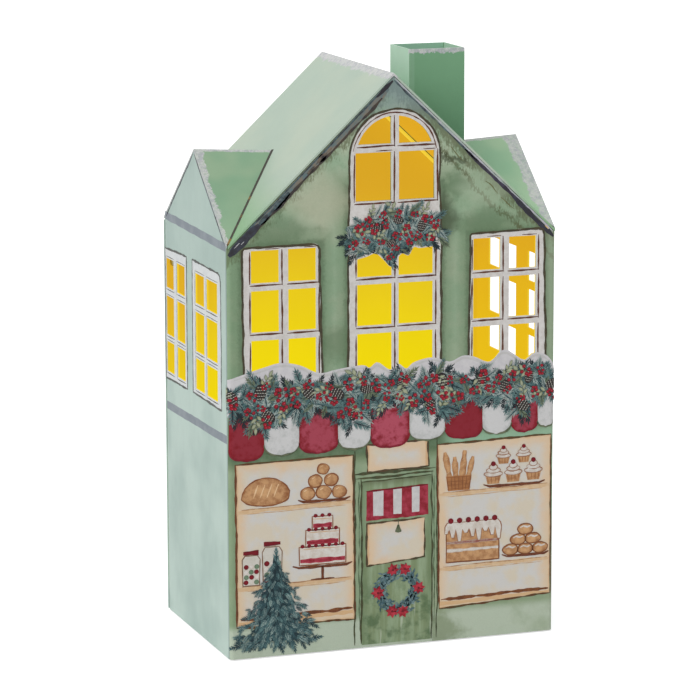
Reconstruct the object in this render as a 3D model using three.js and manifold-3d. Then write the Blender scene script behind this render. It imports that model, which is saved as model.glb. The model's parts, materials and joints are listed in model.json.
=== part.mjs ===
// Light-up village bakery: a folded, printed tin house with punched window panes,
// a cross-gable roof, a chimney and a battery light on the base plate.
// Millimetres, +Z up. The front faces -Y. The origin is on the floor under the middle.
import * as THREE from "three";
import { ConvexGeometry } from "three/addons/geometries/ConvexGeometry.js";
import { mergeVertices } from "three/addons/utils/BufferGeometryUtils.js";
import Module from "manifold-3d";

// House body
const sheet = 1.0; // thickness of the printed tin, paint included
const houseWidth = 176; // outside, across the front
const houseDepth = 111; // outside, front face to rear face
const eaveHeight = 212; // where the roof planes start at the four corners
const roofRise = 83.5; // eave to ridge
const sideGableRise = 42.5; // eave to the top of a side gable, at the wall
const sideRidgeFall = 2.5; // the side ridge runs down by this to the main slope
const foldRadius = 2.25; // outside of the upright folds
const hemWidth = 6; // inward fold along the bottom of the walls
const returnWidth = 10; // inward fold of the side walls behind the rear wall
const roofFlangeWidth = 6; // fold under the roof sheets along the gables
const seam = 0.3; // gap between sheets and pieces laid on each other
const valleyGap = 0.7; // slit between a side roof and the main roof

// Chimney
const chimneyWidth = 29.9;
const chimneyDepth = 28.2;
const chimneyRise = 9.5; // ridge to the chimney's top
const chimneyOffset = 14.7; // ridge line to the near side of the chimney
const chimneySetback = 17.9; // front face of the house to the front of the chimney

// Front windows: three rows of panes, the lowest row ends at the snow on the garland
const windowHeadroom = 2.4; // eave down to the panes
const rowOneHeight = 16.3;
const barOneHeight = 4.0;
const rowTwoHeight = 20.9;
const barTwoHeight = 4.2;
const outerWindowLeft = -58.6; // middle of the left window
const outerWindowRight = 59.9; // middle of the right window
const outerPaneWidth = 14.5;
const outerMullion = 5.0;
const middleWindow = 0.6; // middle of the centre window and of the arched window
const middlePaneWidth = 18.3;
const middleMullion = 3.8;
const garlandTop = 148; // mean height of the snow line
const paneRunOut = 10; // depth under that line that the lowest row is cut from

// Arched window over the centre window
const archPaneWidth = 18.9;
const archMullion = 4.2;
const archPaneRise = 19.6; // eave to the lowest panes of the arch
const archPaneHeight = 24.4;
const archBarHeight = 4.2;
const archSpringRise = 41.4; // eave to the arch's centre
const archGlassRadius = 20.8;

// Side windows: two on each side wall, three rows of two panes each. These are the left wall's
const sideWindowHeadroom = 21; // eave down to the panes
const sideRowOneHeight = 15.5;
const sideBarOneHeight = 4.5;
const sideRowTwoHeight = 20.5;
const sideBarTwoHeight = 3.7;
const sideRowThreeHeight = 16;
const sideFrontWindowStart = 17; // front face of the house to the first pane
const sideFrontPanes = [18, 15];
const sideFrontMullion = 4.5;
const sideRearWindowStart = 73.5;
const sideRearPanes = [14, 13];
const sideRearMullion = 6;

// The right wall has the wide window at the rear, and its rows are a little higher
const rightRowRaise = 4.8; // over the rows of the left wall
const rightFrontWindowStart = 6;
const rightFrontPanes = [9, 15.4];
const rightFrontMullion = 5;
const rightRearWindowStart = 51.5;
const rightRearPanes = [15, 19.7];
const rightRearMullion = 4.5;

// Base tray, pads and rear fasteners
const padThickness = 1.8;
const padRadius = 7;
const padInset = 17; // side of the house to the middle of a pad
const trayHeight = 12;
const shankClearance = 0.3; // between a shank and the hole round it
const rearHeadHeight = 1.0; // rivet and screw heads on the rear wall
const rivetHeadRadius = 3.0;
const rivetShankRadius = 1.6;
const rivetBulbRadius = 2.4;
const rivetBulbHeight = 1.5;
const lowestRivet = 40; // height of the lowest pair of rivets
const rivetPitch = 74;
const rivetRows = 3;
const baseScrewHeight = 8;
const baseScrewHeadRadius = 2.9;
const baseScrewShankRadius = 1.5;
const baseScrewLength = 6.5;
const crownShare = 0.6; // share of a head's radius where its crown bends
const crownRise = 0.75; // share of a head's height at that bend

// Light module
const batteryRadius = 5.25; // AAA cells
const batteryLength = 44.5;
const batteryNubRadius = 1.9;
const batteryNubLength = 0.9;
const batteryEdge = 0.5; // rolled edge of the sleeve
const batteryCount = 3;
const batteryGap = 0.6; // between neighbouring cells
const bayLength = 52;
const mouldWall = 2.0;
const switchBayLength = 19.5;
const housingWidth = 50;
const moduleFlangeReach = 7.25; // past each end of the housing
const moduleFlangeThickness = 3.0;
const contactThickness = 0.5;
const contactSize = 9;
const springWireRadius = 0.4;
const springCoilRadius = 3.2;
const springTurns = 4;

// Battery door
const doorThickness = 1.5;
const doorRecess = 0.1; // door underside above the tray underside
const doorLap = 0.6; // door past the bay on each side
const doorTravel = 8; // slide until the tabs reach their notches
const doorTabLength = 8;
const doorTabReach = 2;
const doorTabThickness = 1.2;
const doorTabStarts = [7, 41]; // from the closed end of the door
const gripGrooves = 4;
const gripGrooveWidth = 1.2;
const gripGrooveDepth = 0.5;
const gripGroovePitch = 2.8;

// Switch
const switchInset = 5.75; // end wall of the switch bay to the middle of the switch
const switchWidth = 6.6;
const switchLength = 12.8;
const switchHeight = 5.5;
const switchTravel = 4;
const knobSize = 3;
const knobProud = 0.6; // knob end below the tray underside
const sliderPlateWidth = 5;
const sliderPlateLength = 4.6;
const sliderPlateThickness = 1;
const fingerWindow = [9, 16]; // cut-out in the tray under the switch

// Lights
const bossHeight = 1.5;
const bossRadius = 3;
const boardRadius = 17;
const boardThickness = 1.6;
const boardScrewPlace = 12;
const boardScrewHeadRadius = 2;
const boardScrewHeadHeight = 1.3;
const boardScrewShankRadius = 1;
const boardScrewLength = 4.1;
const ledRadius = 2.5;
const ledHeight = 8.6;
const ledRimRadius = 2.9;
const ledRimHeight = 1;
const ledCircle = 10;
const ledCount = 4;
const domeRadius = 23;
const domeWall = 1.5;
const domeSkirt = 5.1;
const domeGrooveDepth = 0.8;
const moduleScrewHeadRadius = 2.8;
const moduleScrewHeadHeight = 2;
const moduleScrewShankRadius = 1.4;
const moduleScrewRow = 18; // from the module's middle line
const leadRadius = 0.5;
const leadSpread = 3; // each lead from the middle line
const leadHoleRadius = 1.1;
const leadPadInset = 2.5; // edge of the board to a lead's solder pad

// Facets of the round pieces, and how finely the drawn lines are cut
const fastenerSides = 12;
const holeSides = 16;
const padSides = 24;
const cellSides = 20;
const boardSides = 32;
const ringSides = 48;
const domeArcSteps = 7;
const ledArcSteps = 5;
const springSides = 5;
const springStepsPerTurn = 8;
const leadSides = 6;
const leadSteps = 44;
const foldSteps = 6;
const snowLineSteps = 72;
const swagLineSteps = 40;
const mergeDistance = 1e-4; // corners nearer than this are one corner

// Places that follow from the sizes above
const halfWidth = houseWidth / 2;
const frontFace = -(houseDepth + rearHeadHeight) / 2;
const rearFace = frontFace + houseDepth;
const middleDepth = (frontFace + rearFace) / 2;
const wallRear = rearFace - sheet; // outside of the returns, against the rear wall
const hemBottom = padThickness - sheet;
const trayTop = padThickness + sheet;
const ridgeHeight = eaveHeight + roofRise;
const sideGableHeight = eaveHeight + sideGableRise; // top of a side gable at the wall
const sideRidgeInnerHeight = sideGableHeight - sideRidgeFall; // where it meets the main slope
const chimneyTop = ridgeHeight + chimneyRise;
const windowTop = eaveHeight - windowHeadroom;
const sideWindowTop = eaveHeight - sideWindowHeadroom;
const archPaneBottom = eaveHeight + archPaneRise;
const archSpring = eaveHeight + archSpringRise;
const mainSlope = roofRise / halfWidth;
const innerRidgeEnd = (ridgeHeight - sideRidgeInnerHeight) / mainSlope;
const valleyRun = halfWidth - innerRidgeEnd;
const valleySlope = houseDepth / 2 / valleyRun; // depth per width along a valley, in plan

// Closed geometry to a solid and back
const wasm = await Module();
wasm.setup();

function toSolid(geometry) {
  const bare = geometry.clone();
  bare.deleteAttribute("normal");
  bare.deleteAttribute("uv");
  const merged = mergeVertices(bare, mergeDistance);
  return new wasm.Manifold(new wasm.Mesh({
    numProp: 3,
    vertProperties: new Float32Array(merged.attributes.position.array),
    triVerts: new Uint32Array(merged.index.array),
  }));
}

function toGeometry(solid) {
  const { vertProperties, triVerts } = solid.getMesh();
  const geometry = new THREE.BufferGeometry();
  geometry.setAttribute("position", new THREE.BufferAttribute(vertProperties, 3));
  geometry.setIndex(new THREE.BufferAttribute(triVerts, 1));
  geometry.computeVertexNormals();
  return geometry;
}

function union(solids) {
  return solids.reduce((whole, solid) => whole.add(solid));
}

function box([x0, y0, z0], [x1, y1, z1]) {
  const geometry = new THREE.BoxGeometry(x1 - x0, y1 - y0, z1 - z0);
  geometry.translate((x0 + x1) / 2, (y0 + y1) / 2, (z0 + z1) / 2);
  return toSolid(geometry);
}

function outlineShape(points) {
  return new THREE.Shape(points.map(([across, up]) => new THREE.Vector2(across, up)));
}

// Outline points are [x, z], the prism runs from y0 to y1
function prismAlongY(points, y0, y1) {
  const settings = { depth: y1 - y0, bevelEnabled: false };
  const geometry = new THREE.ExtrudeGeometry(outlineShape(points), settings);
  geometry.rotateX(Math.PI / 2);
  geometry.translate(0, y1, 0);
  return toSolid(geometry);
}

function prismAlongZ(shape, z0, z1) {
  const settings = { depth: z1 - z0, bevelEnabled: false, curveSegments: foldSteps };
  const geometry = new THREE.ExtrudeGeometry(shape, settings);
  geometry.translate(0, 0, z0);
  return toSolid(geometry);
}

function rodAlongY(radius, x, z, y0, y1, sides = holeSides) {
  const geometry = new THREE.CylinderGeometry(radius, radius, y1 - y0, sides);
  geometry.translate(x, (y0 + y1) / 2, z);
  return toSolid(geometry);
}

function rodAlongZ(radius, x, y, z0, z1, sides = holeSides) {
  const geometry = new THREE.CylinderGeometry(radius, radius, z1 - z0, sides);
  geometry.rotateX(Math.PI / 2);
  geometry.translate(x, y, (z0 + z1) / 2);
  return toSolid(geometry);
}

// Turned piece: profile points are [radius, height], turned round the Y axis
function turned(profile, sides) {
  const points = profile.map(([radius, height]) => new THREE.Vector2(radius, height));
  return new THREE.LatheGeometry(points, sides);
}

// Materials, one fresh copy for each piece
function finish(color, roughness, metalness) {
  return () => new THREE.MeshStandardMaterial({ color, roughness, metalness });
}
const mintPaint = finish(0xb4cbbf, 0.55, 0.1);
const roofPaint = finish(0xa9c4ad, 0.6, 0.1);
const chimneyPaint = finish(0x7fa98f, 0.6, 0.1);
const bareTin = finish(0xb9bcbd, 0.35, 0.9);
const zincSteel = finish(0xa7abad, 0.3, 1.0);
const foam = finish(0x2b2b2d, 0.95, 0);
const blackPlastic = finish(0x222426, 0.5, 0);
const whitePlastic = finish(0xe6e2d8, 0.45, 0);
const milkyPlastic = finish(0xf6efd8, 0.4, 0);
const batterySleeve = finish(0x3f6e8c, 0.35, 0.3);
const boardGreen = finish(0x2f6b46, 0.5, 0);
const ledAmber = finish(0xf4d27a, 0.15, 0);
const leadRed = finish(0xb02a24, 0.5, 0);
const leadBlack = finish(0x18191b, 0.5, 0);

const bakery = new THREE.Group();

function place(name, shape, makeMaterial, parent = bakery) {
  const geometry = shape.isBufferGeometry ? shape : toGeometry(shape);
  const mesh = new THREE.Mesh(geometry, makeMaterial());
  mesh.name = name;
  parent.add(mesh);
  return mesh;
}

// Roof planes
// Everything under the main roof, lowered by drop, and grown past the house by grow
function underMainRoof(drop, grow = 0) {
  const reach = halfWidth + grow;
  const eave = eaveHeight - grow * mainSlope - drop;
  const floor = -2 * grow - 1;
  const ridge = ridgeHeight - drop;
  const outline = [[-reach, floor], [reach, floor], [reach, eave], [0, ridge], [-reach, eave]];
  return prismAlongY(outline, frontFace - grow, rearFace + grow);
}

// Corner points of a side roof's two planes, scaled about its own ridge so that the planes stay
function sideRoofPoints(side, scale) {
  const corners = [
    new THREE.Vector3(side * halfWidth, frontFace, eaveHeight),
    new THREE.Vector3(side * halfWidth, rearFace, eaveHeight),
    new THREE.Vector3(side * halfWidth, middleDepth, sideGableHeight),
    new THREE.Vector3(side * innerRidgeEnd, middleDepth, sideRidgeInnerHeight),
  ];
  const pivot = corners[2].clone().add(corners[3]).multiplyScalar(0.5);
  return corners.map((corner) => corner.sub(pivot).multiplyScalar(scale).add(pivot));
}

function underSideRoof(side, drop, scale = 1) {
  const depthBelow = sideGableHeight - eaveHeight;
  const top = sideRoofPoints(side, scale).map((point) => point.sub(new THREE.Vector3(0, 0, drop)));
  const floor = eaveHeight - depthBelow * scale - drop;
  const bottom = top.map((point) => new THREE.Vector3(point.x, point.y, floor));
  return toSolid(new ConvexGeometry([...top, ...bottom]));
}

// Cosine of each roof plane's tilt, to turn a thickness into a drop
const mainCosine = 1 / Math.hypot(1, mainSlope);
const [sideCorner, , sideApex, sideInnerEnd] = sideRoofPoints(1, 1);
const upTheGable = sideApex.clone().sub(sideCorner);
const alongTheValley = sideInnerEnd.clone().sub(sideCorner);
const sideCosine = Math.abs(upTheGable.cross(alongTheValley).normalize().z);

// Everything more than depth under the outside of the whole roof
function underRoof(depth) {
  const sides = [-1, 1].map((side) => underSideRoof(side, depth / sideCosine));
  return union([underMainRoof(depth / mainCosine), ...sides]);
}

// Plan triangle of a side roof as an upright prism, its valley edges moved out by offset
function valleyPrism(side, offset) {
  const apex = innerRidgeEnd - offset * Math.hypot(1, valleySlope) / valleySlope;
  const outer = halfWidth + sheet;
  const spread = (outer - apex) * valleySlope;
  const triangle = [
    [side * apex, middleDepth],
    [side * outer, middleDepth - spread],
    [side * outer, middleDepth + spread],
  ];
  return prismAlongZ(outlineShape(triangle), 0, chimneyTop);
}

// Walls
// Plan outline of the walls, inset from their outside, with round upright folds
function wallPlan(inset) {
  const radius = Math.max(foldRadius - inset, sheet / 4);
  const [x0, x1] = [-halfWidth + inset, halfWidth - inset];
  const [y0, y1] = [frontFace + inset, wallRear - inset];
  const plan = new THREE.Shape();
  plan.absarc(x1 - radius, y0 + radius, radius, -Math.PI / 2, 0);
  plan.absarc(x1 - radius, y1 - radius, radius, 0, Math.PI / 2);
  plan.absarc(x0 + radius, y1 - radius, radius, Math.PI / 2, Math.PI);
  plan.absarc(x0 + radius, y0 + radius, radius, Math.PI, Math.PI * 1.5);
  return plan;
}

// Snow line over the garland and greenery line over the centre window: [x, rise], drawn by hand
const snowCrests = [
  [-88, -3], [-76, 0.4], [-68, 2.5], [-60, 4.1], [-50, 2.2], [-40, -2.4], [-30, -1], [-17, 0.2], [-13, -1.4],
  [-8.7, 1.2], [-2, -3.2], [2.4, -0.3], [6.7, -3.1], [11, 0], [21, 1.8], [30, -1], [37, 1.6], [43, 0.9],
  [52, -2.6], [60, 3.5], [70.4, -2.8], [77, 0.8], [88, -2],
];
const swagCrests = [
  [-20, -7.3], [-14.4, -6.1], [-9.8, -4.7], [-5.5, -8.2], [-1.5, -11.9], [2.4, -7.2], [4.6, -5.5], [8, -6.6],
  [10.6, -2.6], [14, -3.2], [20.8, -2.7],
];

function lineThrough(crests, height, steps) {
  const curve = new THREE.SplineCurve(crests.map(([x, rise]) => new THREE.Vector2(x, height + rise)));
  return curve.getPoints(steps).map((point) => [point.x, point.y]);
}

function paneCut(x0, x1, z0, z1) {
  return box([x0, frontFace - sheet, z0], [x1, frontFace + 2 * sheet, z1]);
}

function paneColumns(middle, paneWidth, mullion) {
  const near = mullion / 2;
  return [[middle - near - paneWidth, middle - near], [middle + near, middle + near + paneWidth]];
}

// A drawn line closed along a straight edge, as a prism through the front wall
function bankPrism(line, edge) {
  const outline = [[line[0][0], edge], ...line, [line.at(-1)[0], edge]];
  const ordered = edge > line[0][1] ? outline : outline.reverse();
  return prismAlongY(ordered, frontFace - 2 * sheet, frontFace + 3 * sheet);
}

function frontWindowCuts() {
  const rowOneBottom = windowTop - rowOneHeight;
  const rowTwoTop = rowOneBottom - barOneHeight;
  const rowTwoBottom = rowTwoTop - rowTwoHeight;
  const rowThreeTop = rowTwoBottom - barTwoHeight;
  const lowEdge = garlandTop - paneRunOut;
  const snowBank = bankPrism(lineThrough(snowCrests, garlandTop, snowLineSteps), lowEdge - sheet);
  const swag = bankPrism(lineThrough(swagCrests, windowTop, swagLineSteps), windowTop + sheet);
  const windows = [
    [outerWindowLeft, outerPaneWidth, outerMullion],
    [middleWindow, middlePaneWidth, middleMullion],
    [outerWindowRight, outerPaneWidth, outerMullion],
  ];
  const cuts = windows.flatMap(([middle, width, mullion]) =>
    paneColumns(middle, width, mullion).flatMap(([x0, x1]) => {
      const topPane = paneCut(x0, x1, rowOneBottom, windowTop);
      return [
        middle === middleWindow ? topPane.subtract(swag) : topPane,
        paneCut(x0, x1, rowTwoBottom, rowTwoTop),
        paneCut(x0, x1, lowEdge, rowThreeTop).subtract(snowBank),
      ];
    }));
  return union(cuts);
}

function archWindowCuts() {
  const columns = paneColumns(middleWindow, archPaneWidth, archMullion);
  const lowerTop = archPaneBottom + archPaneHeight;
  const lower = columns.map(([x0, x1]) => paneCut(x0, x1, archPaneBottom, lowerTop));
  const headBottom = lowerTop + archBarHeight;
  const headTop = archSpring + archGlassRadius + sheet;
  const [y0, y1] = [frontFace - sheet, frontFace + 2 * sheet];
  const disc = rodAlongY(archGlassRadius, middleWindow, archSpring, y0, y1, ringSides);
  const upper = columns.map(([x0, x1]) => {
    const outward = x0 < middleWindow ? [x0 - archGlassRadius, x1] : [x0, x1 + archGlassRadius];
    return paneCut(outward[0], outward[1], headBottom, headTop).intersect(disc);
  });
  return union([...lower, ...upper]);
}

function sideWindowRows(top) {
  const rows = [];
  for (const [height, bar] of [[sideRowOneHeight, sideBarOneHeight], [sideRowTwoHeight, sideBarTwoHeight],
    [sideRowThreeHeight, 0]]) {
    rows.push([top - height, top]);
    top -= height + bar;
  }
  return rows;
}

// Panes of one side wall, from windows given as [start from the front face, pane widths, mullion]
function wallPanes(side, windows, top) {
  const columns = windows.flatMap(([start, [first, second], mullion]) => {
    const near = frontFace + start;
    return [[near, near + first], [near + first + mullion, near + first + mullion + second]];
  });
  const [x0, x1] = [halfWidth - 2 * sheet, halfWidth + sheet];
  return columns.flatMap(([y0, y1]) => sideWindowRows(top).map(([z0, z1]) =>
    side > 0 ? box([x0, y0, z0], [x1, y1, z1]) : box([-x1, y0, z0], [-x0, y1, z1])));
}

function sideWindowCuts() {
  const left = [[sideFrontWindowStart, sideFrontPanes, sideFrontMullion],
    [sideRearWindowStart, sideRearPanes, sideRearMullion]];
  const right = [[rightFrontWindowStart, rightFrontPanes, rightFrontMullion],
    [rightRearWindowStart, rightRearPanes, rightRearMullion]];
  const rightTop = sideWindowTop + rightRowRaise;
  return union([...wallPanes(-1, left, sideWindowTop), ...wallPanes(1, right, rightTop)]);
}

// Holes for the rear rivets and base screws
const fastenerX = halfWidth - returnWidth / 2;
const rivetPlaces = [-1, 1].flatMap((side) =>
  Array.from({ length: rivetRows }, (_, row) => [side * fastenerX, lowestRivet + row * rivetPitch]));
const baseScrewPlaces = [[-fastenerX, baseScrewHeight], [fastenerX, baseScrewHeight]];

function rearHoles(y0, y1) {
  const hole = (shank) => ([x, z]) => rodAlongY(shank + shankClearance, x, z, y0, y1);
  const rivetHoles = rivetPlaces.map(hole(rivetShankRadius));
  const screwHoles = baseScrewPlaces.map(hole(baseScrewShankRadius));
  return union([...rivetHoles, ...screwHoles]);
}

// Thin layer right under the roof, from which the gable flanges are taken
const roofGap = sheet + seam;
const flangeLayer = underRoof(roofGap).subtract(underRoof(roofGap + sheet));

function wallWrap() {
  const shell = prismAlongZ(wallPlan(0), hemBottom, ridgeHeight)
    .subtract(prismAlongZ(wallPlan(sheet), hemBottom - sheet, ridgeHeight + sheet))
    .subtract(box([-halfWidth + returnWidth, wallRear - 2 * sheet, hemBottom - sheet],
      [halfWidth - returnWidth, wallRear + sheet, ridgeHeight + sheet]))
    .intersect(underRoof(roofGap));
  const hem = prismAlongZ(wallPlan(0), hemBottom, hemBottom + sheet)
    .subtract(box([-halfWidth + hemWidth, frontFace + hemWidth, hemBottom - sheet],
      [halfWidth - hemWidth, wallRear + sheet, trayTop]));
  const inner = halfWidth - sheet / 2;
  const flangeEnd = halfWidth - sheet - roofFlangeWidth;
  const low = eaveHeight / 2;
  const frontStripRear = frontFace + sheet + roofFlangeWidth;
  const sideStripRear = wallRear - sheet / 2;
  const strips = [
    box([-inner, frontFace + sheet / 2, low], [inner, frontStripRear, ridgeHeight]),
    box([-inner, frontFace + sheet, low], [-flangeEnd, sideStripRear, ridgeHeight]),
    box([flangeEnd, frontFace + sheet, low], [inner, sideStripRear, ridgeHeight]),
  ];
  const flanges = union(strips).intersect(flangeLayer);
  return union([shell, hem, flanges])
    .subtract(frontWindowCuts())
    .subtract(archWindowCuts())
    .subtract(sideWindowCuts())
    .subtract(rearHoles(wallRear - 2 * sheet, wallRear + sheet));
}

function rearWall() {
  const plate = box([-halfWidth, wallRear, hemBottom], [halfWidth, rearFace, ridgeHeight])
    .intersect(underMainRoof(roofGap / mainCosine, sheet));
  const clear = halfWidth - returnWidth - roofFlangeWidth;
  const flangeFront = wallRear - roofFlangeWidth;
  const flange = box([-clear, flangeFront, eaveHeight], [clear, rearFace - sheet / 2, ridgeHeight])
    .intersect(underMainRoof(roofGap / mainCosine, sheet))
    .subtract(underMainRoof((roofGap + sheet) / mainCosine, sheet));
  return plate.add(flange).subtract(rearHoles(wallRear - sheet, rearFace + sheet));
}

function mainRoof() {
  return underMainRoof(0)
    .subtract(underMainRoof(sheet / mainCosine, sheet))
    .subtract(valleyPrism(-1, valleyGap / 2))
    .subtract(valleyPrism(1, valleyGap / 2));
}

function sideRoof(side) {
  const reachPastEdges = 1.5;
  return underSideRoof(side, 0)
    .subtract(underSideRoof(side, sheet / sideCosine, reachPastEdges))
    .intersect(valleyPrism(side, -valleyGap / 2));
}

const chimneyNear = chimneyOffset;
const chimneyFar = chimneyOffset + chimneyWidth;
const chimneyFront = frontFace + chimneySetback;
const chimneyRear = chimneyFront + chimneyDepth;

function chimney() {
  const outer = box([chimneyNear, chimneyFront, eaveHeight], [chimneyFar, chimneyRear, chimneyTop]);
  const flue = box([chimneyNear + sheet, chimneyFront + sheet, eaveHeight - sheet],
    [chimneyFar - sheet, chimneyRear - sheet, chimneyTop + sheet]);
  return outer.subtract(flue).subtract(underMainRoof(-seam / mainCosine, sheet));
}

place("wall_wrap", wallWrap(), mintPaint);
place("rear_wall", rearWall(), mintPaint);
place("main_roof", mainRoof(), roofPaint);
place("left_gable_roof", sideRoof(-1), roofPaint);
place("right_gable_roof", sideRoof(1), roofPaint);
place("chimney", chimney(), chimneyPaint);

// Rear fasteners, turned with their axis along Y and the head outward
function rivet() {
  const grip = 2 * sheet;
  const bulbEnd = -grip - rivetBulbHeight;
  const crown = [rivetHeadRadius * crownShare, rearHeadHeight * crownRise];
  return turned([
    [0, bulbEnd], [rivetBulbRadius * crownRise, bulbEnd], [rivetBulbRadius, -grip],
    [rivetShankRadius, -grip], [rivetShankRadius, 0], [rivetHeadRadius, 0], crown, [0, rearHeadHeight],
  ], fastenerSides);
}

function screw(headRadius, headHeight, shankRadius, length) {
  const taperEnd = shankRadius * crownShare - length;
  const tipRadius = shankRadius * (1 - crownShare);
  return turned([
    [0, -length], [tipRadius, -length], [shankRadius, taperEnd], [shankRadius, 0], [headRadius, 0],
    [headRadius, headHeight / 2], [headRadius * crownRise, headHeight], [0, headHeight],
  ], fastenerSides);
}

rivetPlaces.forEach(([x, z], index) => {
  place(`rear_rivet_${index + 1}`, rivet(), zincSteel).position.set(x, rearFace, z);
});
baseScrewPlaces.forEach(([x, z]) => {
  const head = screw(baseScrewHeadRadius, rearHeadHeight, baseScrewShankRadius, baseScrewLength);
  place(x < 0 ? "base_screw_left" : "base_screw_right", head, zincSteel).position.set(x, rearFace, z);
});

// Light module, in its own frame: its origin is on the tray's top, under its middle
const module = new THREE.Group();
module.position.set(0, 0, trayTop);
bakery.add(module);

const housingEnd = (bayLength + switchBayLength + 3 * mouldWall) / 2;
const bayStart = -housingEnd + mouldWall;
const bayEnd = bayStart + bayLength;
const batteryPitch = 2 * batteryRadius + batteryGap;
const bayHalfWidth = ((batteryCount - 1) * batteryPitch) / 2 + batteryRadius + seam;
const doorBottom = doorRecess - sheet;
const doorTop = doorBottom + doorThickness;
const tabBottom = seam;
const tabTop = tabBottom + doorTabThickness;
const pocketTop = tabTop + seam;
const batteryAxis = doorTop + seam + batteryRadius;
const bayCeiling = batteryAxis + batteryRadius + seam;
const housingTop = bayCeiling + mouldWall;
const doorStart = bayStart - doorLap;
const doorEnd = bayEnd + doorLap;
const doorHalfWidth = bayHalfWidth + doorLap;
const tabHalfWidth = doorHalfWidth + doorTabReach;
const switchFloor = pocketTop + mouldWall;
const switchBayStart = bayEnd + mouldWall;
const switchBayEnd = switchBayStart + switchBayLength;
const switchPlace = switchBayEnd - switchInset; // middle of the switch
const knobReach = (knobSize + switchTravel) / 2 + seam;
const screwColumn = housingEnd + moduleFlangeReach / 2;
const moduleScrewPlaces = [-1, 1].flatMap((sx) =>
  [-1, 1].map((sy) => [sx * screwColumn, sy * moduleScrewRow]));
const boardBottom = housingTop + bossHeight;
const boardTop = boardBottom + boardThickness;
const boardScrewPlaces = [[0, -boardScrewPlace], [0, boardScrewPlace]];
const domeInner = domeRadius - domeWall;
const leadHoleX = domeInner - 2 * leadHoleRadius;

function tabBox(start, side, gap, z0, z1) {
  const x0 = doorStart + start - gap;
  const x1 = doorStart + start + doorTabLength + gap;
  const [near, far] = [doorHalfWidth - sheet, tabHalfWidth + gap];
  return side > 0 ? box([x0, near, z0], [x1, far, z1]) : box([x0, -far, z0], [x1, -near, z1]);
}

function basePlate() {
  const tray = prismAlongZ(wallPlan(sheet + seam), padThickness, padThickness + trayHeight)
    .subtract(prismAlongZ(wallPlan(2 * sheet + seam), trayTop, padThickness + trayHeight + sheet));
  const [low, high] = [padThickness - sheet, trayTop + sheet];
  const doorWay = box([doorStart - seam, -doorHalfWidth - seam, low],
    [doorEnd + doorTravel + seam, doorHalfWidth + seam, high]);
  const notches = doorTabStarts.flatMap((start) =>
    [-1, 1].map((side) => tabBox(start + doorTravel, side, seam, low, high)));
  const finger = box([switchPlace - fingerWindow[0] / 2, -fingerWindow[1] / 2, low],
    [switchPlace + fingerWindow[0] / 2, fingerWindow[1] / 2, high]);
  const screwHoles = moduleScrewPlaces.map(([x, y]) =>
    rodAlongZ(moduleScrewShankRadius + shankClearance, x, y, low, high));
  return tray.subtract(union([doorWay, ...notches, finger, ...screwHoles]))
    .subtract(rearHoles(wallRear - 4 * sheet, wallRear));
}

place("base_plate", basePlate(), bareTin);
for (const [name, sx, sy] of [["foot_pad_front_left", -1, -1], ["foot_pad_front_right", 1, -1],
  ["foot_pad_rear_left", -1, 1], ["foot_pad_rear_right", 1, 1]]) {
  const [x, y] = [sx * (halfWidth - padInset), middleDepth + sy * (houseDepth / 2 - padInset)];
  place(name, rodAlongZ(padRadius, x, y, 0, padThickness, padSides), foam);
}

function moduleHousing() {
  const bodyHalf = housingWidth / 2;
  const flangeEnd = housingEnd + moduleFlangeReach;
  const body = box([-housingEnd, -bodyHalf, 0], [housingEnd, bodyHalf, housingTop]);
  const flange = box([-flangeEnd, -bodyHalf, 0], [flangeEnd, bodyHalf, moduleFlangeThickness]);
  const bosses = boardScrewPlaces.map(([x, y]) => rodAlongZ(bossRadius, x, y, housingTop - 1, boardBottom));
  const bay = box([bayStart, -bayHalfWidth, -1], [bayEnd, bayHalfWidth, bayCeiling]);
  const channelInner = bayHalfWidth + mouldWall;
  const channelOuter = bodyHalf - mouldWall;
  const channels = [[-channelOuter, -channelInner], [channelInner, channelOuter]].map(([y0, y1]) =>
    box([bayStart, y0, -1], [bayEnd, y1, bayCeiling]));
  const doorPocket = box([doorStart - seam, -tabHalfWidth - seam, -1],
    [doorEnd + doorTravel + seam, tabHalfWidth + seam, pocketTop]);
  const switchBay = box([switchBayStart, -channelOuter, switchFloor],
    [switchBayEnd, channelOuter, bayCeiling]);
  const knobSlot = box([switchPlace - knobSize / 2 - seam, -knobReach, -1],
    [switchPlace + knobSize / 2 + seam, knobReach, switchFloor + 1]);
  const topWindow = box([domeRadius + mouldWall, -fingerWindow[1] / 2, bayCeiling - 1],
    [switchBayEnd, fingerWindow[1] / 2, housingTop + 1]);
  const leadHoles = [-1, 1].map((side) =>
    rodAlongZ(leadHoleRadius, leadHoleX, side * leadSpread, bayCeiling - 1, housingTop + 1, fastenerSides));
  const grooveFloor = housingTop - domeGrooveDepth;
  const domeGroove = rodAlongZ(domeRadius + seam, 0, 0, grooveFloor, housingTop + 1, ringSides)
    .subtract(rodAlongZ(domeInner - seam, 0, 0, 0, housingTop + 2, ringSides));
  const screwHoles = moduleScrewPlaces.map(([x, y]) =>
    rodAlongZ(moduleScrewShankRadius + shankClearance, x, y, -1, moduleFlangeThickness + 1));
  const boardHoles = boardScrewPlaces.map(([x, y]) => rodAlongZ(boardScrewShankRadius + shankClearance, x, y,
    boardTop - boardScrewLength - seam, boardBottom + 1));
  return union([body, flange, ...bosses])
    .subtract(union([bay, ...channels, doorPocket, switchBay, knobSlot, topWindow, ...leadHoles, domeGroove]))
    .subtract(union([...screwHoles, ...boardHoles]));
}

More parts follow.
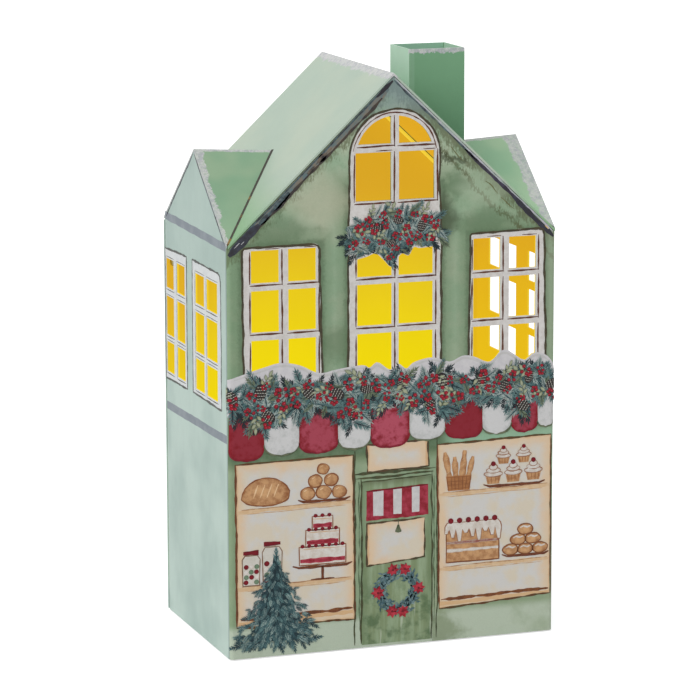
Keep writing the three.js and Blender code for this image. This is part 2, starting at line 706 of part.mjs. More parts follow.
function batteryDoor() {
  const panel = box([doorStart, -doorHalfWidth, doorBottom], [doorEnd, doorHalfWidth, doorTop]);
  const tabs = doorTabStarts.flatMap((start) =>
    [-1, 1].map((side) => tabBox(start, side, 0, tabBottom, tabTop)));
  const grooves = Array.from({ length: gripGrooves }, (_, index) => {
    const x = doorStart + gripGroovePitch * (index + 1);
    return box([x, -doorHalfWidth / 2, doorBottom - 1],
      [x + gripGrooveWidth, doorHalfWidth / 2, doorBottom + gripGrooveDepth]);
  });
  return union([panel, ...tabs]).subtract(union(grooves));
}

place("module_housing", moduleHousing(), blackPlastic, module);
place("battery_door", batteryDoor(), blackPlastic, module);

// Cells lie side by side and face opposite ways in turn
function battery() {
  const shoulder = batteryLength - batteryNubLength;
  return turned([
    [0, 0], [batteryRadius - batteryEdge, 0], [batteryRadius, batteryEdge],
    [batteryRadius, shoulder - batteryEdge], [batteryRadius - batteryEdge, shoulder],
    [batteryNubRadius, shoulder], [batteryNubRadius, batteryLength], [0, batteryLength],
  ], cellSides);
}

class SpringPath extends THREE.Curve {
  getPoint(t, target = new THREE.Vector3()) {
    const turn = t * springTurns * 2 * Math.PI;
    return target.set(
      (springLength - 2 * springWireRadius) * t,
      springCoilRadius * Math.cos(turn),
      springCoilRadius * Math.sin(turn),
    );
  }
}

function roundSection(radius, sides) {
  const points = Array.from({ length: sides }, (_, index) => {
    const angle = (index / sides) * 2 * Math.PI;
    return [radius * Math.cos(angle), radius * Math.sin(angle)];
  });
  return outlineShape(points);
}

const plusEndRoom = seam + contactThickness + seam; // wall, contact, tip of the cell
const springLength = bayLength - plusEndRoom - batteryLength - 2 * seam;
for (let index = 0; index < batteryCount; index += 1) {
  const y = (index - (batteryCount - 1) / 2) * batteryPitch;
  const facing = index % 2 === 0 ? 1 : -1; // which way the plus end points
  const minusEnd = facing > 0 ? bayStart : bayEnd;
  const holder = new THREE.Group();
  holder.position.set(minusEnd, y, batteryAxis);
  holder.rotation.z = facing > 0 ? 0 : Math.PI;
  module.add(holder);
  const cell = battery().rotateZ(-Math.PI / 2);
  place(`battery_${index + 1}`, cell, batterySleeve, holder).position.x = springLength + 2 * seam;
  const coil = new THREE.ExtrudeGeometry(roundSection(springWireRadius, springSides),
    { steps: springTurns * springStepsPerTurn, extrudePath: new SpringPath(), bevelEnabled: false });
  place(`contact_spring_${index + 1}`, coil, zincSteel, holder).position.x = seam + springWireRadius;
  const contact = new THREE.BoxGeometry(contactThickness, contactSize, contactSize);
  const contactX = bayLength - seam - contactThickness / 2;
  place(`contact_plate_${index + 1}`, contact, zincSteel, holder).position.x = contactX;
}

// Slide switch
function switchBody() {
  const [halfX, halfY] = [switchWidth / 2, switchLength / 2];
  const body = box([switchPlace - halfX, -halfY, switchFloor],
    [switchPlace + halfX, halfY, switchFloor + switchHeight]);
  const pocketX = sliderPlateWidth / 2 + seam;
  const pocketY = (sliderPlateLength + switchTravel) / 2 + seam;
  return body.subtract(box([switchPlace - pocketX, -pocketY, switchFloor - 1],
    [switchPlace + pocketX, pocketY, switchFloor + sliderPlateThickness + 2 * seam]));
}

function switchSlider() {
  const middle = -switchTravel / 2; // the lit position
  const [halfX, halfY, halfKnob] = [sliderPlateWidth / 2, sliderPlateLength / 2, knobSize / 2];
  const plateBottom = switchFloor + seam;
  const plate = box([switchPlace - halfX, middle - halfY, plateBottom],
    [switchPlace + halfX, middle + halfY, plateBottom + sliderPlateThickness]);
  const knob = box([switchPlace - halfKnob, middle - halfKnob, -sheet - knobProud],
    [switchPlace + halfKnob, middle + halfKnob, plateBottom + sliderPlateThickness / 2]);
  return plate.add(knob);
}

place("switch_body", switchBody(), blackPlastic, module);
place("switch_slider", switchSlider(), whitePlastic, module);

// Board, LEDs, dome and screws
const board = boardScrewPlaces.reduce(
  (disc, [x, y]) => disc.subtract(
    rodAlongZ(boardScrewShankRadius + shankClearance, x, y, boardBottom - 1, boardTop + 1)),
  rodAlongZ(boardRadius, 0, 0, boardBottom, boardTop, boardSides));
place("led_board", board, boardGreen, module);

// Profile of a round dome, from its rim up to its top on the axis
function quarterArc(radius, rimHeight, steps) {
  return Array.from({ length: steps + 1 }, (_, index) => {
    const angle = (index / steps) * (Math.PI / 2);
    return [index === steps ? 0 : radius * Math.cos(angle), rimHeight + radius * Math.sin(angle)];
  });
}

function led() {
  const dome = quarterArc(ledRadius, ledHeight - ledRadius, ledArcSteps);
  const rim = [[0, 0], [ledRimRadius, 0], [ledRimRadius, ledRimHeight], [ledRadius, ledRimHeight]];
  return turned([...rim, ...dome], fastenerSides).rotateX(Math.PI / 2);
}

for (let index = 0; index < ledCount; index += 1) {
  const angle = ((index + 0.5) / ledCount) * 2 * Math.PI;
  place(`led_${index + 1}`, led(), ledAmber, module)
    .position.set(ledCircle * Math.cos(angle), ledCircle * Math.sin(angle), boardTop);
}

function diffuserDome() {
  const outside = quarterArc(domeRadius, domeSkirt, domeArcSteps);
  const inside = quarterArc(domeInner, domeSkirt, domeArcSteps).reverse();
  const profile = [[domeInner, 0], [domeRadius, 0], ...outside, ...inside, [domeInner, 0]];
  return turned(profile, boardSides).rotateX(Math.PI / 2);
}

place("diffuser_dome", diffuserDome(), milkyPlastic, module).position.z = housingTop - domeGrooveDepth;
boardScrewPlaces.forEach(([x, y], index) => {
  const shape = screw(boardScrewHeadRadius, boardScrewHeadHeight, boardScrewShankRadius, boardScrewLength);
  place(`board_screw_${index + 1}`, shape.rotateX(Math.PI / 2), zincSteel, module)
    .position.set(x, y, boardTop);
});
const moduleScrewLength = moduleFlangeThickness + sheet + seam;
moduleScrewPlaces.forEach(([x, y], index) => {
  const shape = screw(
    moduleScrewHeadRadius, moduleScrewHeadHeight, moduleScrewShankRadius, moduleScrewLength);
  place(`module_screw_${index + 1}`, shape.rotateX(Math.PI / 2), zincSteel, module)
    .position.set(x, y, moduleFlangeThickness);
});

// Leads: from the switch, along under the ceiling, up through a hole, to the underside of the board
function lead(side) {
  const y = side * leadSpread;
  const switchTop = switchFloor + switchHeight;
  const runHeight = bayCeiling - seam - leadRadius;
  const landing = boardRadius - leadPadInset;
  const crossing = (housingTop + boardBottom) / 2;
  const corners = [
    [switchPlace, switchTop + seam], [switchPlace, runHeight], [leadHoleX, runHeight],
    [leadHoleX, crossing], [landing, crossing], [landing, boardBottom - seam],
  ].map(([x, z]) => new THREE.Vector3(x, y, z));
  const path = new THREE.CurvePath();
  let start = corners[0];
  for (let index = 1; index < corners.length - 1; index += 1) {
    const corner = corners[index];
    const before = corner.clone().add(start.clone().sub(corner).setLength(leadRadius / 2));
    const after = corner.clone().add(corners[index + 1].clone().sub(corner).setLength(leadRadius / 2));
    path.add(new THREE.LineCurve3(start, before));
    path.add(new THREE.QuadraticBezierCurve3(before, corner, after));
    start = after;
  }
  path.add(new THREE.LineCurve3(start, corners.at(-1)));
  return new THREE.ExtrudeGeometry(roundSection(leadRadius, leadSides),
    { steps: leadSteps, extrudePath: path, bevelEnabled: false });
}

place("lead_positive", lead(1), leadRed, module);
place("lead_negative", lead(-1), leadBlack, module);

export default bakery;
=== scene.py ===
"""Paint, print and stage for the light-up village bakery, built round its packed model."""

import json
import math
import random
from types import SimpleNamespace

import bmesh
import bpy
import numpy as np
from bpy.props import FloatProperty, FloatVectorProperty, IntProperty, PointerProperty
from mathutils import Matrix, Vector, noise
from mathutils.geometry import tessellate_polygon


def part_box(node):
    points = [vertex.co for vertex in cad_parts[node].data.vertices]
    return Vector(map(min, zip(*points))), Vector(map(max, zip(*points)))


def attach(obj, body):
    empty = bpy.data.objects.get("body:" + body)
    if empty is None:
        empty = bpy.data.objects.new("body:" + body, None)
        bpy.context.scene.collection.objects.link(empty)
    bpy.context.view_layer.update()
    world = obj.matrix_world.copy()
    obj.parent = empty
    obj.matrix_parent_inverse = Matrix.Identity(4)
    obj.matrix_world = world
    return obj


bl_info = {
    "name": "Light-up village bakery",
    "version": (1, 0, 0),
    "blender": (4, 5, 0),
    "location": "3D View > Sidebar > Bakery",
    "description": "Paints and dresses a printed tin bakery that lights up from inside",
    "category": "Add Mesh",
}

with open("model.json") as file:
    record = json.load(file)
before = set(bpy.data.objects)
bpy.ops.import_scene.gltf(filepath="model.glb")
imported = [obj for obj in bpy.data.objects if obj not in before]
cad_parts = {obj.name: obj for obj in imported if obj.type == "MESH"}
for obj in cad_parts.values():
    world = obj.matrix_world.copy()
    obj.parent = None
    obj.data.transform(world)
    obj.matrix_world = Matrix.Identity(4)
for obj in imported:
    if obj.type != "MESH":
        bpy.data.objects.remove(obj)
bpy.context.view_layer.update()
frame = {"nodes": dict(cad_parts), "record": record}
NODES = frame["nodes"]

MM = 0.001  # the print is drawn in millimetres
WALL_LOW, WALL_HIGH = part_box("wall_wrap")
HALF_WIDTH = WALL_HIGH.x / MM
FRONT = WALL_LOW.y / MM
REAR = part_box("rear_wall")[1].y / MM
MIDDLE = -0.5  # depth at which the side gables have their ridges
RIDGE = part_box("main_roof")[1].z / MM
EAVE = 212
SLOPE = (RIDGE - EAVE) / HALF_WIDTH
PITCH = math.cos(math.atan(SLOPE))  # turns a height under the roof into a distance from it
SIDE_TOP = 254.5
SIDE_SLOPE = (SIDE_TOP - EAVE) / 55.5
SIDE_PITCH = 0.794  # the same as PITCH, for the side gables
FOLD = 2.25  # outside radius of the sheet where it turns a corner
FLAT_HALF = HALF_WIDTH - FOLD
TRAY_TOP = 13.8  # the lamp lights the tin above this height
TUCKED = 1.8  # tin this close under a roof is out of the light
NOTCH_EDGE = (45.4, 252.42), (87.56, 212.42, 55.5)  # edge of the main roof beside a side gable
GABLE_EDGE = (46.28, 252.03), (88.0, 212.44, 54.92)  # edge of the side gable's roof along it
VALLEY_SHADE_REACH = 0.35  # how far a strip of painted shade over a valley reaches over each of the two edges
FLANGE_EDGE = 47.5  # past this depth the roof rests on the flanges, where no light reaches it
GAP = 0.004  # the lowest ink stands this far off the tin, so the two never share a plane
INK_GLOSS, TIN_GLOSS, BARE_GLOSS = 0.3, 0.35, 0.5
BLACK, WHITE = (0, 0, 0), (1, 1, 1)
PEN_SEED = 7

noise.seed_set(PEN_SEED)  # without it, the waver of the pen lines would differ from run to run


# Colours

def screen(red, green, blue):
    """A colour as it is seen on a screen, 0 to 255, as the linear numbers that shaders use."""
    parts = (part / 255 for part in (red, green, blue))
    return tuple(p / 12.92 if p <= 0.04045 else ((p + 0.055) / 1.055) ** 2.4 for p in parts)


def darker(colour, share):
    return tuple(part * share for part in colour)


def paint_pot(name, rgb, description):
    return FloatVectorProperty(
        name=name, description=description, subtype="COLOR", size=3, min=0, max=1, default=screen(*rgb)
    )


def length(name, millimetres, description):
    return FloatProperty(
        name=name, description=description, default=millimetres * MM, min=0, unit="LENGTH", precision=5
    )


class BakeryPaint(bpy.types.PropertyGroup):
    """Colours of the tin and of the print on it"""
    mint: paint_pot("Mint", (190, 209, 200), "Side walls and back")
    mint_shadow: paint_pot("Mint shadow", (170, 191, 183), "Clouds in the mint, and the walls near the eaves")
    front_green: paint_pot("Front green", (154, 180, 150), "Main wash of the front")
    front_pale: paint_pot("Front pale", (176, 191, 164), "Thin places in the wash")
    front_deep: paint_pot("Front deep", (108, 138, 100), "Pooled places in the wash")
    olive: paint_pot("Olive", (82, 84, 46), "Stains under the roof edges and round the windows")
    dusk: paint_pot("Dusk", (126, 148, 150), "Bluish wash under the top of the front gable")
    roof_mint: paint_pot("Roof mint", (178, 196, 180), "Main roof")
    roof_deep: paint_pot("Roof deep", (124, 176, 118), "Main roof near the eaves")
    gable_green: paint_pot("Gable green", (134, 171, 139), "Roofs over the side gables")
    # the chimney's darker front and back green is partly the print, partly painted shade
    chimney_green: paint_pot("Chimney green", (118, 165, 127), "Front and back of the chimney")
    chimney_side: paint_pot("Chimney side", (180, 213, 188), "Sides of the chimney")
    snow: paint_pot("Snow", (214, 212, 213), "Painted snow")
    snow_shade: paint_pot("Snow shade", (186, 184, 194), "Lilac shade in the snow")
    frame_white: paint_pot("Frame white", (222, 219, 216), "Window frames")
    brown: paint_pot("Brown line", (82, 44, 30), "Drawn lines in the windows")
    dark_line: paint_pot("Dark line", (62, 58, 44), "Drawn outlines on the front")
    charcoal: paint_pot("Charcoal", (44, 42, 48), "Drawn edges of the roof")
    belt: paint_pot("Belt", (130, 139, 147), "Painted belts on the side walls")
    cream: paint_pot("Cream", (212, 210, 206), "Panels of the shop windows and the door")
    cream_warm: paint_pot("Warm cream", (226, 196, 158), "Wash along the edges of the panels")
    red: paint_pot("Red", (130, 8, 26), "Awning, blind and berries")
    red_wash: paint_pot("Red wash", (188, 84, 104), "Thin places in the red")
    needle: paint_pot("Needle", (16, 42, 50), "Fir needles")
    needle_light: paint_pot("Light needle", (122, 158, 156), "Tips of the fir needles")
    leaf: paint_pot("Leaf", (172, 178, 150), "Pale leaves in the garland")
    door_green: paint_pot("Door green", (128, 145, 108), "Door and its frame")
    crust: paint_pot("Crust", (214, 168, 120), "Baked goods")
    crust_dark: paint_pot("Dark crust", (146, 92, 54), "Edges and shaded sides of baked goods")
    glow_low: paint_pot("Glow low", (242, 224, 12), "Lit tin near the lamp")
    glow_mid: paint_pot("Glow middle", (232, 203, 28), "Lit tin half way up")
    glow_high: paint_pot("Glow high", (219, 168, 38), "Lit tin under the roof")


class BakeryPrint(bpy.types.PropertyGroup):
    """Sizes of the print"""
    proud: length("Ink step", 0.03, "Height of one layer of ink over the one below")
    outline: length("Outline", 0.9, "Width of the lines round the windows")
    pane_line: length("Pane line", 0.6, "Width of the lines along the panes")
    sprig_gap: length("Sprig spacing", 2.5, "Least distance between sprigs in the garland")
    sprig_length: length("Sprig length", 9.5, "Length of a sprig in the garland")
    tree_gap: length("Tree spacing", 1.7, "Least distance between sprigs in the fir tree")
    seed: IntProperty(name="Seed", description="Places of sprigs and berries", default=7, min=0)


class BakeryStage(bpy.types.PropertyGroup):
    """Camera and light"""
    lens: FloatProperty(name="Lens", description="Focal length, in millimetres", default=185.02, min=1)
    distance: length("Distance", 1872.79, "Camera to the point that it looks at")
    azimuth: FloatProperty(name="Azimuth", description="Camera round the house", subtype="ANGLE",
                           default=math.radians(-19.248))
    elevation: FloatProperty(name="Elevation", description="Camera over the floor", subtype="ANGLE",
                             default=math.radians(10.654))
    roll: FloatProperty(name="Roll", description="Turn of the picture", subtype="ANGLE",
                        default=math.radians(-0.114))
    target: FloatVectorProperty(name="Target", description="Point that the camera looks at",
                                subtype="TRANSLATION", size=3, default=(-0.00395, 0.0, 0.14525))
    sky: FloatProperty(name="Sky", description="Strength of the even light", default=0.56, min=0)
    key: FloatProperty(name="Key", description="Strength of the light from the left", default=1.35, min=0)


# Shader maths

def new_node(tree, kind, settings=None, inputs=None):
    """A node with its settings. Its inputs are signals, sockets or plain values."""
    node = tree.nodes.new(kind)
    for key, value in (settings or {}).items():
        setattr(node, key, value)
    for key, value in (inputs or {}).items():
        feed(tree, node.inputs[key], value)
    return node


def feed(tree, socket, value):
    if isinstance(value, Signal):
        value = value.socket
    if isinstance(value, bpy.types.NodeSocket):
        tree.links.new(value, socket)
    elif isinstance(value, (tuple, list)) and socket.type == "RGBA":
        socket.default_value = (*value[:3], 1)
    else:
        socket.default_value = value


def shader_maths(operation, swapped=False):
    """A method that sends a signal, and what it is given, through one maths node."""
    def method(self, *others):
        values = (*others, self) if swapped else (self, *others)
        node = self.finish.node("ShaderNodeMath", {"operation": operation}, dict(enumerate(values)))
        return Signal(self.finish, node.outputs[0])
    return method


class Signal:
    """A number that varies over a surface, for use in plain expressions."""
    __add__ = __radd__ = shader_maths("ADD")
    __sub__, __rsub__ = shader_maths("SUBTRACT"), shader_maths("SUBTRACT", swapped=True)
    __mul__ = __rmul__ = shader_maths("MULTIPLY")
    __truediv__ = shader_maths("DIVIDE")
    size, wave, root = shader_maths("ABSOLUTE"), shader_maths("SINE"), shader_maths("SQRT")
    at_least, at_most = shader_maths("MAXIMUM"), shader_maths("MINIMUM")
    over, under = shader_maths("GREATER_THAN"), shader_maths("LESS_THAN")

    def __init__(self, finish, socket):
        self.finish, self.socket = finish, socket

    def __neg__(self):
        return self * -1

    def rise(self, start, end):
        """0 at start, 1 at end, smooth between. Start may be the larger."""
        node = self.finish.node("ShaderNodeMapRange", {"interpolation_type": "SMOOTHSTEP"},
                                {0: self, 1: start, 2: end, 3: 0.0, 4: 1.0})
        return Signal(self.finish, node.outputs[0])

    def band(self, middle, half, soft):
        """1 within half of middle, falling to 0 over soft."""
        return (self - middle).size().rise(half + soft, half)


class Finish:
    """A material in the making, in Object coordinates."""

    def __init__(self, name):
        self.material = bpy.data.materials.new(name)
        self.material.use_nodes = True
        self.tree = self.material.node_tree
        self.tree.nodes.clear()
        self._place = None

    def node(self, kind, settings=None, inputs=None):
        return new_node(self.tree, kind, settings, inputs)

    def place(self):
        """Object coordinates in millimetres."""
        if self._place is None:
            spot = self.node("ShaderNodeTexCoord").outputs["Object"]
            self._place = self.node("ShaderNodeVectorMath", {"operation": "SCALE"},
                                    {0: spot, "Scale": 1 / MM}).outputs[0]
        return self._place

    def apart(self, socket):
        """The three numbers of a vector."""
        parts = self.node("ShaderNodeSeparateXYZ", None, {0: socket})
        return [Signal(self, output) for output in parts.outputs]

    def axes(self):
        return self.apart(self.place())

    def facing(self):
        return self.apart(self.node("ShaderNodeNewGeometry").outputs["Normal"])

    def cloud(self, size, detail=3.0, rough=0.55, stretch=(1, 1, 1), shift=(0, 0, 0)):
        """Noise whose lumps are about this many millimetres wide."""
        spot = self.node("ShaderNodeVectorMath", {"operation": "MULTIPLY_ADD"},
                         {0: self.place(), 1: tuple(s / size for s in stretch), 2: tuple(shift)}).outputs[0]
        made = self.node("ShaderNodeTexNoise", None,
                         {"Vector": spot, "Scale": 1.0, "Detail": detail, "Roughness": rough})
        return Signal(self, made.outputs["Fac"])

    def weave(self):
        """Threads both ways, as fine as the paper that the picture was painted on."""
        return self.cloud(0.9, 2, 0.6, (1, 1, 4)) + self.cloud(0.9, 2, 0.6, (4, 1, 1))

    def value(self, name):
        """A painted number of the mesh."""
        made = self.node("ShaderNodeAttribute", {"attribute_name": name})
        return Signal(self, made.outputs["Fac"])

    def colour(self, name):
        """A painted colour of the mesh."""
        return self.node("ShaderNodeAttribute", {"attribute_name": name}).outputs["Color"]

    def mix(self, amount, first, second):
        made = self.node("ShaderNodeMix", {"data_type": "RGBA", "clamp_factor": True},
                         {0: amount, 6: first, 7: second})
        return made.outputs[2]

    def tone(self, colour, amount):
        """The colour made lighter or darker by a number near 1."""
        return self.node("ShaderNodeVectorMath", {"operation": "SCALE"},
                         {0: colour, "Scale": amount}).outputs[0]

    def bump(self, height, strength, distance=0.02):
        return self.node("ShaderNodeBump", None, {
            "Height": height, "Strength": strength, "Distance": distance * MM}).outputs[0]

    def surface(self, colour, roughness=0.5, **more):
        """Joins a principled shader to the output. Words after the roughness name its sockets."""
        inputs = {"Base Color": colour, "Roughness": roughness}
        inputs.update({key.replace("_", " "): value for key, value in more.items()})
        shader = self.node("ShaderNodeBsdfPrincipled", None, inputs)
        self.node("ShaderNodeOutputMaterial", None, {"Surface": shader.outputs[0]})
        return self.material


def printed(f, colour, height=None, light=None, gloss=INK_GLOSS):
    """Ink on sheet: fine grain in its shine, a bump that follows the print, and the lamp's light."""
    weave = f.cloud(0.7, 2, 0.6)
    bump = f.bump(weave if height is None else height, 0.12, 0.05)
    glowing = {} if light is None else {"Emission_Color": light, "Emission_Strength": 0.8}
    return f.surface(colour, 0.42 + weave * 0.16, Normal=bump, Specular_IOR_Level=gloss, **glowing)


def glow(f, z, paint):
    """Colour of tin that the lamp lights from inside: yellow low down, amber under the roof."""
    low = f.mix(z.rise(120, 185), paint.glow_low, paint.glow_mid)
    colour = f.mix(z.rise(168, 226), low, paint.glow_high)
    return f.tone(colour, 0.94 + f.cloud(40, 2) * 0.12)


def lit(f, where, colour, warm, dim):
    """The colour and the light of a sheet that is lit in some places. The light covers its colour there."""
    return f.mix(where, colour, darker(dim, 0.25)), f.mix(where, BLACK, warm)


def below_roof(x, z):
    """Distance under the main roof, square to it."""
    return (RIDGE - x.size() * SLOPE - z) * PITCH


# Centre across and up, half width and half height of the front's windows
WINDOWS = ((-59.7, 178, 20.8, 33.5), (0.5, 192, 25, 47), (61.6, 178, 20.8, 34))
# Centre across and up, and reach, of the dark pools between them
POOLS = ((-62, 219, 15), (49, 218, 13), (-30, 160, 14))


def front_print(f, x, z, paint):
    """Watercolour of the front: pale in the fields, pooled at the windows and the roof edge."""
    broad, fleck, fine = f.cloud(30, 4, 0.6), f.cloud(7, 5, 0.65, shift=(5, 2, 9)), f.cloud(1.6, 3, 0.7)
    hair = f.cloud(1.1, 3, 0.7, (1, 1, 0.35), shift=(8, 3, 1))
    deep, pale = paint.front_deep, paint.front_pale
    near = None
    for across, up, half_width, half_height in WINDOWS:
        gap = ((x - across).size() - half_width).at_least((z - up).size() - half_height)
        near = gap if near is None else near.at_most(gap)
    under = below_roof(x, z)
    ring = (under + (broad - 0.5) * 16 + (hair - 0.5) * 9).band(12, 0.3, 1.5)
    brow = (z - 251 + (x - 30) * 0.2 + (fleck - 0.5) * 9 + (hair - 0.5) * 9).band(0, 0.7, 1.7)
    bright = x.rise(24, 36)

    def blot(across, up, squeeze_x, squeeze_z, ragged, outer, inner, cloud=fleck):
        """A patch round one place, full within the inner distance and gone at the outer one."""
        away = (x - across).size() * squeeze_x + (z - up).size() * squeeze_z
        return (away + (cloud - 0.5) * ragged).rise(outer, inner)

    washes = [
        (fleck.rise(0.46, 0.75) * 0.35, deep),
        (x.rise(20, 60) * 0.3, deep),
        # round the windows, wide and close
        ((near + (fleck - 0.5) * 8).rise(12, 1) * (0.45 + broad * 0.5) * 0.8, darker(deep, 0.86)),
        ((near + (fine - 0.5) * 4).rise(3.4, 0.6) * (0.3 + fleck * 0.8) * 0.75, darker(deep, 0.5)),
        # under the roof edge
        ((under + (fleck - 0.5) * 15 + (hair - 0.5) * 16).rise(9.5, 4.5) * 0.7, paint.olive),
        (ring * x.over(20) * 0.75, paint.olive),
        # right of the arch
        (brow * (x - 31).size().rise(10, 7) * 0.75, screen(62, 70, 44)),
        (blot(27, 220, 1.1, 0.7, 12, 14, 5) * 0.75, screen(58, 68, 44)),
        (blot(34, 238, 1, 1, 22, 12, 4) * 0.6, darker(deep, 0.7)),
        (blot(50, 236, 0.7, 1, 20, 16, 6, broad) * 0.4, pale),
        # left of the arch, and over it
        (blot(-38, 232, 0.8, 1, 24, 24, 8, broad) * 0.55, screen(184, 184, 158)),
        (z.rise(262, 286) * broad.rise(0.3, 0.55) * 0.75, paint.dusk),
        # along the two sides
        ((-x - fleck * 4).rise(78, 83) * 0.3, deep),
        (x.rise(80, 85) * 0.4, pale),
    ]
    washes += [(blot(across, up, 0.5, 1, 16, reach, reach * 0.35) * 0.6, darker(deep, 0.72))
               for across, up, reach in POOLS]
    washes += [
        # under the awning
        (z.band(112, 10, 6) * (0.5 + fleck * 0.8) * (1 - bright * 0.7), darker(deep, 0.62)),
        (z.rise(104, 100) * 0.5, paint.door_green),
        (z.rise(112, 106) * z.over(60) * bright * 0.65, screen(152, 194, 164)),
        # along the foot
        (z.rise(19, 14) * (1 - broad.rise(0.5, 0.7) * 0.6) * 0.85, screen(190, 202, 184)),
        (blot(25, 5, 0.75, 0.8, 20, 15, 5) * x.over(21) * 0.55, screen(98, 116, 66)),
    ]
    colour = f.mix(broad.rise(0.42, 0.6), paint.front_green, pale)
    for amount, tint in washes:
        colour = f.mix(amount, colour, tint)
    return f.tone(colour, 0.83 + f.weave() * 0.17)


def mint_wash(f, z, paint, top, amount):
    """Plain mint of the sides and the back, shaded towards the eaves."""
    soft, streak = f.cloud(38, 3, 0.5), f.cloud(3, 3, 0.6, (1, 1, 0.25))
    mint = f.mix(soft.rise(0.35, 0.7), paint.mint, paint.mint_shadow)
    return f.tone(f.mix(z.rise(118, top) * amount, mint, paint.mint_shadow), 0.95 + streak * 0.1)


def wall_paint(paint):
    """The folded sheet: printed in front, mint at the sides, and lit inside."""
    f = Finish("printed_walls")
    x, y, z = f.axes()
    # The outside is told from the inside by the distance from the middle of the sheet's folds
    across = (x.size() - FLAT_HALF).at_least(0)
    along = ((y + 1).size() - (-FRONT - 1 - FOLD)).at_least(0)
    reach = across * across + along * along
    mint = mint_wash(f, z, paint, 205, 0.55)
    mint = f.mix(y.rise(-52.5, -54) * 0.6, mint, screen(112, 132, 128))
    colour = f.mix(y.under(FRONT + 1.5), mint, front_print(f, x, z, paint))
    below_side = (SIDE_TOP - (y - MIDDLE).size() * SIDE_SLOPE - z) * SIDE_PITCH
    tucked = below_roof(x, z).under(TUCKED).at_least(below_side.under(TUCKED))
    inside = 1 - reach.over(2.2 * 2.2).at_least(tucked * z.over(EAVE - 3))
    far_left = x.under(-60) * y.over(40)  # the return there is seen from the front, and out of the light
    # Painted light: the inside of the right wall glows a deeper amber
    warm = f.mix(x.over(HALF_WIDTH - 2.5) * 0.6, glow(f, z + far_left * 48, paint), screen(214, 150, 34))
    # Painted highlight: the cut edges of the panes glow a brighter yellow
    cut = reach.over(1.35 * 1.35) * (1 - far_left)
    warm = f.mix(cut * 0.8, warm, screen(244, 208, 40))
    colour, light = lit(f, inside * z.over(TRAY_TOP), colour, warm, paint.glow_mid)
    colour = f.mix(inside * z.under(TRAY_TOP), colour, screen(176, 178, 178))
    return printed(f, colour, light=light, gloss=TIN_GLOSS)


def rear_paint(paint):
    """The back: mint outside, and lit inside together with its flange under the roof."""
    f = Finish("printed_rear")
    x, y, z = f.axes()
    nx, ny, nz = f.facing()
    mint = mint_wash(f, z, paint, 290, 0.5)
    flange = y.under(REAR - 1.2) * (1 - below_roof(x, z).under(TUCKED))
    inside = ny.under(-0.5).at_least(flange) * x.size().under(HALF_WIDTH - 0.6)
    # Painted light: the glow turns amber towards the far corners, and the flange under the roof is a brighter
    # yellow as a painted highlight
    corner = (-x - 45).at_least(x - 68).at_least(0)
    warm = f.mix(y.under(REAR - 1.2) * 0.8, glow(f, z + corner * 1.5, paint), screen(250, 222, 70))
    colour = f.mix(inside, mint, darker(paint.glow_mid, 0.25))
    light = f.mix(inside * z.over(TRAY_TOP), BLACK, warm)
    return printed(f, colour, light=light, gloss=TIN_GLOSS)


def snow_on(f, colour, amount, paint):
    """Dabbed snow with a speckled edge, where the amount passes a half."""
    speck, dab = f.cloud(1.0, 4, 0.8), f.cloud(2.6, 3, 0.7)
    cover = (amount + (speck - 0.5) * 1.6).rise(0.36, 0.62)
    white = f.mix(dab.rise(0.4, 0.66), paint.snow, paint.snow_shade)
    thin = 0.5 + speck.rise(0.36, 0.6) * 0.45
    return f.mix(cover * thin, colour, white), cover


def main_roof_paint(paint):
    f = Finish("printed_main_roof")
    x, y, z = f.axes()
    nx, ny, nz = f.facing()
    soft, streak = f.cloud(45, 3, 0.5), f.cloud(9, 3, 0.55, shift=(3, 3, 3))
    colour = f.mix(soft.rise(0.4, 0.65), paint.roof_mint, screen(186, 200, 182))
    colour = f.mix(z.rise(246, 214) * 0.7, colour, paint.roof_deep)
    colour = f.tone(colour, 0.97 + streak * 0.06)
    down = (RIDGE - z) / PITCH
    ragged = f.cloud(9, 4, 0.65, (0, 1, 0)) * 9 + f.cloud(3, 3, 0.6) * 2 - 1.6
    colour, cover = snow_on(f, colour, (down - ragged).rise(2.2, -2.0), paint)
    under = nz.under(-0.3) * (y - MIDDLE).size().under(FLANGE_EDGE)
    colour, light = lit(f, under, colour, glow(f, z, paint), paint.glow_high)
    return printed(f, colour, cover, light, TIN_GLOSS)


def gable_roof_paint(paint):
    """Both side gables. The right one is painted lighter, a painted light that makes up for the shade that
    the main roof casts on it, and more of it is under snow.
    """
    f = Finish("printed_gable_roof")
    x, y, z = f.axes()
    nx, ny, nz = f.facing()
    from_ridge, right = (y - MIDDLE).size(), x.over(0)
    colour = f.mix(f.cloud(30, 2).rise(0.4, 0.65), paint.gable_green, screen(150, 178, 146))
    colour = f.mix(from_ridge.rise(20, 50) * 0.35, colour, screen(166, 196, 164))
    # painted light: the right gable's colour is made lighter, against the shade that the main roof casts on
    # it
    colour = f.tone(colour, 0.97 + f.cloud(8, 3, 0.55) * 0.06 + right * 0.34)
    width = 2.6 + right * 3.4 + f.cloud(8, 4, 0.6, (0, 1, 1)) * 7 - from_ridge * 0.05
    rake = (HALF_WIDTH - x.size() - width + 2.2).rise(1.5, -1.5)
    ridge = (from_ridge * 1.26 - f.cloud(6, 3, 0.6, (1, 0, 0)) * 2).rise(1.2, 0.2)
    colour, cover = snow_on(f, colour, rake.at_least(ridge), paint)
    under = nz.under(-0.3) * x.size().under(HALF_WIDTH - 8)
    colour, light = lit(f, under, colour, glow(f, z, paint), paint.glow_high)
    return printed(f, colour, cover, light, TIN_GLOSS)


